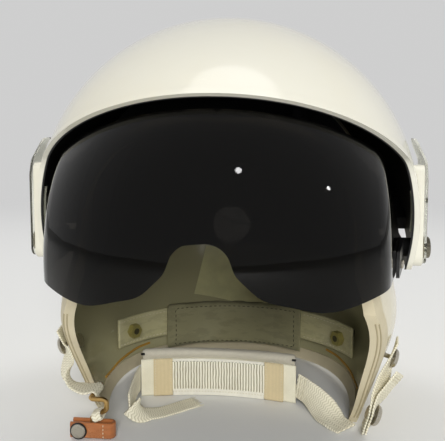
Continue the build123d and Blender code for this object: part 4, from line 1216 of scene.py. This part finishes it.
@dataclass
class ChinStrap(SoftGoods):
    """Ribbed elastic on a rolled pad, held by two keepers between two webbings, with a loose tail."""

    middle: float = -8.0
    centre: float = -181.31
    reach: float = 58.5
    face: float = 193.675
    low: float = 0.3
    high: float = 29.0
    elastic_half: float = 0.8
    rib_reach: float = 34.6
    rib_inset: float = 0.35
    rib_margins: tuple[float, float] = (1.0, 0.8)
    hem_inset: float = 1.0
    hem_height: float = 5.0
    upper_hem_height: float = 2.4
    keeper_at: float = 42.12
    keeper_width: float = 14.0
    keeper_inset: float = 0.9
    keeper_over: float = 0.3
    keeper_seams: tuple[float, float] = (0.1, 0.9)
    roll_inset: float = 1.0
    roll_at: float = 56.9
    roll_half: float = 0.8
    roll_height: float = 33.4
    right: Sequence[Point] = ((84.4, -34.31, 1.4), (77.14, -27.0, 2.73), (67.9, -15.31, 8.29),
                              (58.66, -4.34, 12.66), (51.4, 2.23, 14.65))
    right_sides: Sequence[Point] = ((0.7, 0.7, 0), (0.7, 0.7, 0.1), (0.35, 0.35, 0.8), (0, 0.1, 1), UP)
    left: Sequence[Point] = ((-67.4, 2.23, 14.65), (-66.73, -12.22, 16.11), (-65.53, -26.67, 15.38),
                             (-64.72, -39.06, 12.45))
    tail: Sequence[Point] = ((-62.82, -39.06, 12.45), (-59.63, -36.78, 7.48), (-53.7, -31.31, 3.61),
                             (-43.67, -22.65, 1.4), (-29.99, -10.79, 1.4), (-23.61, -5.32, 1.4))
    tail_sides: Sequence[Point] = (UP, (-0.3, 0.35, 0.8), (-0.7, 0.75, 0.2), *[(-0.7, 0.75, 0)] * 3)
    tail_width: float = 15.2
    right_tacks: Sequence[float] = (0.86, 0.93)
    left_tacks: Sequence[float] = (0.06, 0.13)

    def arc(self, radius: float, first: float, last: float, height: float, steps: int = 8) -> list[Point]:
        """Points along the strap's level curve between two places across."""
        return [(self.middle + x, self.centre + math.sqrt(radius ** 2 - x ** 2), height)
                for x in spread(first, last, steps)]

    def band(self, name: str, inset: float, first: float, last: float, low: float, high: float,
             *nodes: str, slot: str = "elastic", ribbed: bool = False, **sizes: Any) -> Ribbon:
        """An upright band along the curve, set in from the strap's face."""
        route = self.arc(self.face - inset, first, last, (low + high) / 2)
        return self.ribbon(name, "chin_strap", slot, route, [UP] * len(route), *nodes,
                           width=high - low, ribbed=ribbed, **sizes)

    def sew(self, name: str, points: Sequence[Vector], kind: Thread, slot: str = "elastic",
            finish: Finish = THREAD) -> None:
        """One row of stitches on the chin strap."""
        self.sewing.stitch(name, points, "chin_strap", slot, kind, finish)

    def build(self) -> None:
        """Elastic, hems, keepers, webbings and tail."""
        self.band("chin_elastic_band", 0.0, -self.reach, self.reach, self.low, self.high, "chin_elastic",
                  finish=ELASTIC)
        below, above = self.rib_margins
        self.band("chin_elastic_ribs", self.elastic_half + self.rib_inset, -self.rib_reach, self.rib_reach,
                  self.low + below, self.high - above, finish=ELASTIC_RIBS, wall=1.8, ribbed=True,
                  rib_pitch=2.1, rib_height=0.75, wander=0.5, step=0.3, columns=14)
        for name, seam, low, high, across, kind, finish in (
                ("chin_elastic_hem", "hem_seam", self.low, self.low + self.hem_height, 0.3, HEM_ROW, THREAD),
                ("chin_upper_hem", "upper_hem_seam", self.high - self.upper_hem_height, self.high, -0.6,
                 UPPER_ROW, DARK_THREAD)):
            hem = self.band(name, self.elastic_half + self.hem_inset, -self.rib_reach, self.rib_reach, low,
                            high, finish=HEM_CLOTH, wall=1.0)
            self.sew(seam, hem.edge(across, face=hem.inward()), kind, finish=finish)
        for side, label in ((-1, "left"), (1, "right")):
            self.keeper(side, label)
        for label, route, sides, places in (
                ("right", self.right, self.right_sides, self.right_tacks),
                ("left", self.left, [UP] * len(self.left), self.left_tacks)):
            web = self.ribbon(f"chin_{label}_web", "chin_strap", "webbing", route, sides,
                              f"chin_webbing_{label}")
            self.tacks(web, "chin_strap", places, web.inward())
        tail = self.ribbon("chin_tail_web", "chin_strap", "webbing", self.tail, self.tail_sides, "chin_tail",
                           width=self.tail_width)
        aim = Vector(self.tail[-1]) - Vector(self.tail[-2])
        self.sewing.threads("tail_fray", tail.row(1.0, reach=0.96, lift=-0.9), aim.normalized(), "chin_strap",
                            "webbing")

    def keeper(self, side: int, label: str) -> None:
        """One keeper with its two seams, and the gathered end of the rolled top beside it."""
        first = side * self.keeper_at - self.keeper_width / 2
        keeper = self.band(f"keeper_{label}", self.elastic_half + self.keeper_inset, first,
                           first + self.keeper_width, self.low, self.high + self.keeper_over,
                           f"chin_keeper_{label}", slot="tan_cloth", finish=KEEPER, wall=1.3)
        for place in self.keeper_seams:
            self.sew(f"keeper_seam_{label}_{round(place * 10)}",
                     keeper.row(place, reach=0.92, lift=0.05, face=keeper.inward()), KEEPER_ROW, "tan_cloth")
        spot = side * self.roll_at
        self.sew(f"roll_end_{label}", mm(self.arc(
            self.face - self.roll_inset, spot - self.roll_half, spot + self.roll_half, self.roll_height, 2)),
            ROLL_END, "black_rubber", BLACK_RUBBER)


@dataclass
class NapeSupport(SoftGoods):
    """The leather band between the nuts and the stitching of its pad."""

    centre: float = -6.757
    radius: float = 106.676
    low: float = 21.75
    high: float = 46.25
    end: Point = (93.8, 41.48, 34.0)
    band_wall: float = 2.4
    band_steps: int = 24
    pad_middle: float = -3.0
    pad_radius: float = 98.3
    seam_start: float = 80.0
    seam_reach: float = 53.5
    seam_low: float = 15.4
    seam_high: float = 46.6
    seam_steps: int = 24
    seam_lift: float = 0.05
    rows: Sequence[tuple[str, float]] = (("upper", 0.78), ("lower", -0.78))
    row_ends: Sequence[tuple[str, float, float]] = (("right", 0.01, 0.24), ("left", 0.78, 0.99))

    def build(self) -> None:
        """The band with a seam along both edges, open behind the pad."""
        first = math.atan2(self.end[1] - self.centre, self.end[0])
        route = [(self.radius * math.cos(a), self.centre + self.radius * math.sin(a), self.end[2])
                 for a in spread(first, math.pi - first, self.band_steps)]
        band = self.ribbon("nape_leather", "helmet", "ivory_leather", route, [UP] * len(route), "nape_band",
                           width=self.high - self.low, wall=self.band_wall, finish=IVORY_HIDE, ribbed=False,
                           step=1.2)
        for label, across in self.rows:
            for side, start, stop in self.row_ends:
                row = band.edge(across, start, stop, lift=0.1, face=band.inward(0.5))
                self.sewing.stitch(f"nape_seam_{label}_{side}", row, "helmet", "ivory_leather", BAND_ROW)

    def seams(self, pad: Pad) -> None:
        """A stitched rectangle a little inside the pad's edge, dropped on to its face."""
        corners = ((1, 1), (-1, 1), (-1, -1), (1, -1))
        middle = (self.seam_low + self.seam_high) / 2
        half = (self.seam_high - self.seam_low) / 2
        points = []
        for (side, tier), after in zip(corners, (*corners[1:], corners[0])):
            for t in spread(0.0, 1.0, self.seam_steps)[:-1]:
                across = (side + (after[0] - side) * t) * self.seam_reach
                angle = math.pi / 2 - across / self.pad_radius
                points.append((self.pad_middle + self.seam_start * math.cos(angle),
                               self.centre + self.seam_start * math.sin(angle),
                               middle + (tier + (after[1] - tier) * t) * half))
        axis = Vector((self.pad_middle, self.centre, 0)) * MM
        found = pad.surface(mm(points), lambda spot: Vector((spot.x - axis.x, spot.y - axis.y, 0)),
                            self.seam_lift)
        self.sewing.stitch("nape_pad_seam", found, "helmet", "ivory_leather", PAD_ROW, DARK_THREAD,
                           closed=True)


@dataclass
class Trim(SoftGoods):
    """Old glue along the rear rim and the two fine ridges moulded on the binding's cheek edges, darker as
    painted shade.
    """

    glue: Sequence[Point] = ((76.8, 75.9, 15.8), (84.4, 63.5, 15.5), (89.8, 50.0, 14.2), (93.4, 36.6, 13.1),
                             (95.2, 22.9, 11.6), (96.0, 8.6, 11.6))
    glue_step: float = 1.5
    glue_radius: float = 1.0
    tip: tuple[float, float] = (-20.0, 0.0)
    cheek: tuple[float, float] = (-68.0, 91.0)
    shares: tuple[float, float] = (0.34, 0.66)
    first: float = 0.05
    last: float = 0.93
    steps: int = 30
    behind: float = 3.0
    outside: float = 200.0
    ahead: float = 50.0

    def build(self) -> None:
        """Beads of glue, then the ridges, found on the binding's own surface."""
        for label, sign in (("left", -1.0), ("right", 1.0)):
            line = curve_through(mm((sign * x, y, z) for x, y, z in self.glue), self.glue_step * MM)
            self.sewing.bead(f"glue_line_{label}", line, "helmet", "binding", AMBER_GLUE,
                             radius=self.glue_radius)
        tree = ray_tree(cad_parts["edge_binding"].data)
        # the ridge beads carry the painted shade of the darker vinyl copy
        for label, sign in (("right", 1.0), ("left", -1.0)):
            for index, share in enumerate(self.shares):
                self.sewing.bead(f"shaded_binding_ridge_{label}_{index}", self.ridge(tree, sign, share), "helmet",
                                 "binding", SHADED_BINDING_RIDGE)

    def ridge(self, tree: BVHTree, sign: float, share: float) -> list[Vector]:
        """Points on the front of the binding at a share of its thickness."""
        points = []
        out = Vector((sign, 0, 0))
        for t in spread(self.first, self.last, self.steps):
            y = self.tip[0] + (self.cheek[0] - self.tip[0]) * t
            z = self.tip[1] + (self.cheek[1] - self.tip[1]) * t
            level = Vector((0.0, y + self.behind, z)) * MM
            near = tree.ray_cast(level, out)[0]
            far = tree.ray_cast(level + out * self.outside * MM, -out)[0]
            if near is None or far is None:
                continue
            spot = near.lerp(far, share)
            hit = tree.ray_cast(spot - Vector((0, self.ahead * MM, 0)), Vector((0, 1, 0)))[0]
            if hit is not None:
                points.append(hit)
        return points


@dataclass
class HookAndTab(SoftGoods):
    """The webbing roll on the hook and the folded leather tab with its press stud."""

    loop_middle: Point = (-79.22, -60.62, 16.725)
    loop_axis: Point = (-0.928, 0.0, -0.372)
    loop_radius: float = 2.55
    loop_back: float = 4.75
    loop_width: float = 6.2
    loop_steps: int = 5
    fold: Point = (-72.52, -60.62, 5.9)
    fold_steps: int = 6
    leaf_steps: int = 5
    tab_end: float = -98.2
    tab_half: float = 3.1
    tab_width: float = 10.6
    tab_wall: float = 2.3
    stud: Point = (-92.32, -65.58, 5.9)
    stud_radius: float = 5.2
    stud_steps: int = 40
    stud_bead: float = 0.55

    def build(self) -> None:
        """The loop, then the tab with its seam and the dark ring round the stud."""
        self.loop()
        self.tab()
        x, y, z = self.stud
        ring = mm((x + self.stud_radius * math.cos(a), y, z + self.stud_radius * math.sin(a))
                  for a in spread(0.0, math.tau, self.stud_steps)[:-1])
        self.sewing.bead("stud_ring", ring, "tab", "black_plastic", ARM_BLACK, closed=True,
                         radius=self.stud_bead)

    def loop(self) -> None:
        """A closed oval of webbing round the hook's slanted run."""
        axis = Vector(self.loop_axis).normalized()
        fore = Vector((0, 1, 0))
        rise = axis.cross(fore)
        route = []
        for start, back in ((-math.pi / 2, 0.0), (math.pi / 2, self.loop_back)):
            for a in spread(start, start + math.pi, self.loop_steps):
                route.append(tuple(Vector(self.loop_middle) + fore * (self.loop_radius * math.cos(a) - back)
                                   + rise * self.loop_radius * math.sin(a)))
        loop = self.ribbon("hook_loop_web", "hook", "webbing", route, [tuple(axis)] * len(route), "hook_loop",
                           width=self.loop_width, closed=True, columns=6)
        self.sewing.stitch("hook_loop_seam", loop.row(0.72, reach=0.9, lift=0.1), "hook", "webbing", HOOK_ROW)

    def tab(self) -> None:
        """The leather, folded at the hook and sewn behind it."""
        x, y, z = self.fold
        turn = [(x + self.tab_half * math.cos(a), y + self.tab_half * math.sin(a), z)
                for a in spread(-math.pi / 2, math.pi / 2, self.fold_steps)]
        leaf = [(at, y - self.tab_half, z) for at in spread(self.tab_end, x, self.leaf_steps)[:-1]]
        back = [(at, y + self.tab_half, z) for at, _, _ in reversed(leaf)]
        route = (*leaf, *turn, *back)
        tab = self.ribbon("tab_leather", "tab", "tan_leather", route, [UP] * len(route), "leather_tab",
                          width=self.tab_width, wall=self.tab_wall, finish=TAN_HIDE, ribbed=False)
        row = tab.row(0.36, reach=0.7, lift=0.05, face=tab.inward())
        self.sewing.stitch("tab_seam", row, "tab", "tan_leather", TAB_ROW)


# ---- Studio


@dataclass
class Lamp:
    """A round lamp that looks at the helmet.

    Sizes are in metres and its power in watts. Mirrored says whether it shows in what is polished, only names
    the one node that it lights, where there is one, and lights says whether it reaches matt surfaces too.
    """

    name: str
    spot: Point
    size: float
    power: float
    mirrored: bool = True
    only: str = ""
    lights: bool = True
    aim: Point = (0.0, 0.0, 0.1)

    def build(self) -> None:
        """Hang the lamp."""
        data = bpy.data.lights.new(self.name, "AREA")
        data.shape = "DISK"
        data.size = self.size
        data.energy = self.power
        made = pointed(self.name, data, self.spot, Vector(self.aim) - Vector(self.spot))
        made.visible_glossy = self.mirrored
        made.visible_diffuse = made.visible_transmission = self.lights
        if self.only:
            lit = bpy.data.collections.new(f"{self.name}_lit")
            lit.objects.link(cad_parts[self.only])
            made.light_linking.receiver_collection = lit


@dataclass
class Studio:
    """Pale floor, soft lamps, pale surroundings and the camera."""

    eye: Point = (0.046, -0.4515, 0.2091)
    yaw: float = 6.2
    pitch: float = 5.0
    focal: float = 50.9
    shift: tuple[float, float] = (-0.0026, -0.0985)
    sky: float = 0.3
    backdrop: float = 0.62
    fade_from: float = 0.3
    fade_to: float = 1.3
    floor_half: float = 6.0
    floor_colour: Colour = linear(232, 232, 230)
    floor_rough: float = 0.65
    lamps: Sequence[Lamp] = (
        Lamp("overhead", (0.0, 0.15, 1.9), 1.6, 4.6, mirrored=False),
        Lamp("fill", (0.25, -1.55, 0.72), 0.55, 20.5, mirrored=False),
        Lamp("rear_left", (-1.3, 1.1, 1.0), 0.9, 12.0, mirrored=False),
        Lamp("rear_right", (1.3, 1.1, 1.0), 0.9, 12.0, mirrored=False),
        Lamp("ceiling_front", (0.375, -1.327, 1.745), 0.13, 2.5, only="visor_lens"),
        Lamp("ceiling_panel", (0.15, -0.75, 2.1), 1.7, 9.0, only="visor_cover", lights=False),
        Lamp("ceiling_side", (1.744, -0.523, 1.182), 0.08, 1.0, only="visor_lens"))

    def floor(self) -> None:
        """A wide pale floor that keeps the shadow and fades into the plain background."""
        material = bpy.data.materials.new("floor")
        material.use_nodes = True
        graph = Graph(material.node_tree)
        body = graph.principled(base_color=self.floor_colour, roughness=self.floor_rough)
        away = graph.measure("LENGTH", graph.place())
        seen = graph.add("ShaderNodeLightPath", output="Is Camera Ray")
        far = graph.add("ShaderNodeEmission", None, {"Color": WHITE, "Strength": self.backdrop})
        graph.end("ShaderNodeOutputMaterial", graph.add("ShaderNodeMixShader", None, {
            0: away.ease(self.fade_from, self.fade_to) * seen, 1: body, 2: far}))
        mesh = bpy.data.meshes.new("floor")
        half = self.floor_half
        mesh.from_pydata([(-half, -half, 0), (half, -half, 0), (half, half, 0), (-half, half, 0)], [],
                         [(0, 1, 2, 3)])
        mesh.materials.append(material)
        linked("floor", mesh)

    def world(self) -> None:
        """Plain grey light, brighter where the camera, a reflection or a clear piece sees it."""
        world = bpy.data.worlds.new("studio")
        bpy.context.scene.world = world
        world.use_nodes = True
        graph = Graph(world.node_tree)
        seen, glossy, through = (graph.add("ShaderNodeLightPath", output=ray) for ray in (
            "Is Camera Ray", "Is Glossy Ray", "Is Transmission Ray"))
        strength = seen.largest(glossy).largest(through) * (self.backdrop - self.sky) + self.sky
        graph.end("ShaderNodeOutputWorld", graph.add("ShaderNodeBackground", None, {
            "Color": WHITE, "Strength": strength}))

    def camera(self) -> None:
        """The camera at the photograph's viewing angle."""
        data = bpy.data.cameras.new("camera")
        data.sensor_width = 36.0
        data.lens = self.focal
        data.shift_x, data.shift_y = self.shift
        data.clip_start = 0.01
        yaw, pitch = math.radians(self.yaw), math.radians(self.pitch)
        ahead = Vector((-math.sin(yaw) * math.cos(pitch), math.cos(yaw) * math.cos(pitch), -math.sin(pitch)))
        bpy.context.scene.camera = pointed("camera", data, self.eye, ahead)

    def build(self) -> None:
        """Set up everything round the helmet."""
        self.camera()
        self.floor()
        self.world()
        for lamp in self.lamps:
            lamp.build()
        bpy.context.scene.view_settings.view_transform = "Standard"


def main() -> None:
    """Build the sub-assemblies in order."""
    logging.basicConfig(level=logging.INFO, format="%(name)s: %(message)s")
    Studio().build()
    sewing = Sewing()
    nape = NapeSupport(sewing)
    RigidParts().dress()
    for assembly in (SideStraps(sewing), ChinStrap(sewing), nape, Trim(sewing), HookAndTab(sewing)):
        assembly.build()
    inner = [Pad(f"{place}_cushion{side}", f"{place}_pad{side}", "helmet", "pad_leather", PAD_HIDE,
                 outward=from_middle)
             for place, side in (("brow", ""), ("crown", ""), ("rear", ""), ("side", "_right"),
                                 ("side", "_left"))]
    cushion = Pad("nape_cushion", "nape_pad", "helmet", "ivory_leather", OLIVE_HIDE, voxel=2.4, swell=1.2,
                  outward=rearward)
    simulate([*inner, cushion, Pad("chin_cushion", "chin_pad", "chin_strap", "pad_cloth", PAD_CLOTH,
                                   voxel=1.6, swell=0.8, shrink=0.3)])
    nape.seams(cushion)


if __name__ == "__main__":
    main()
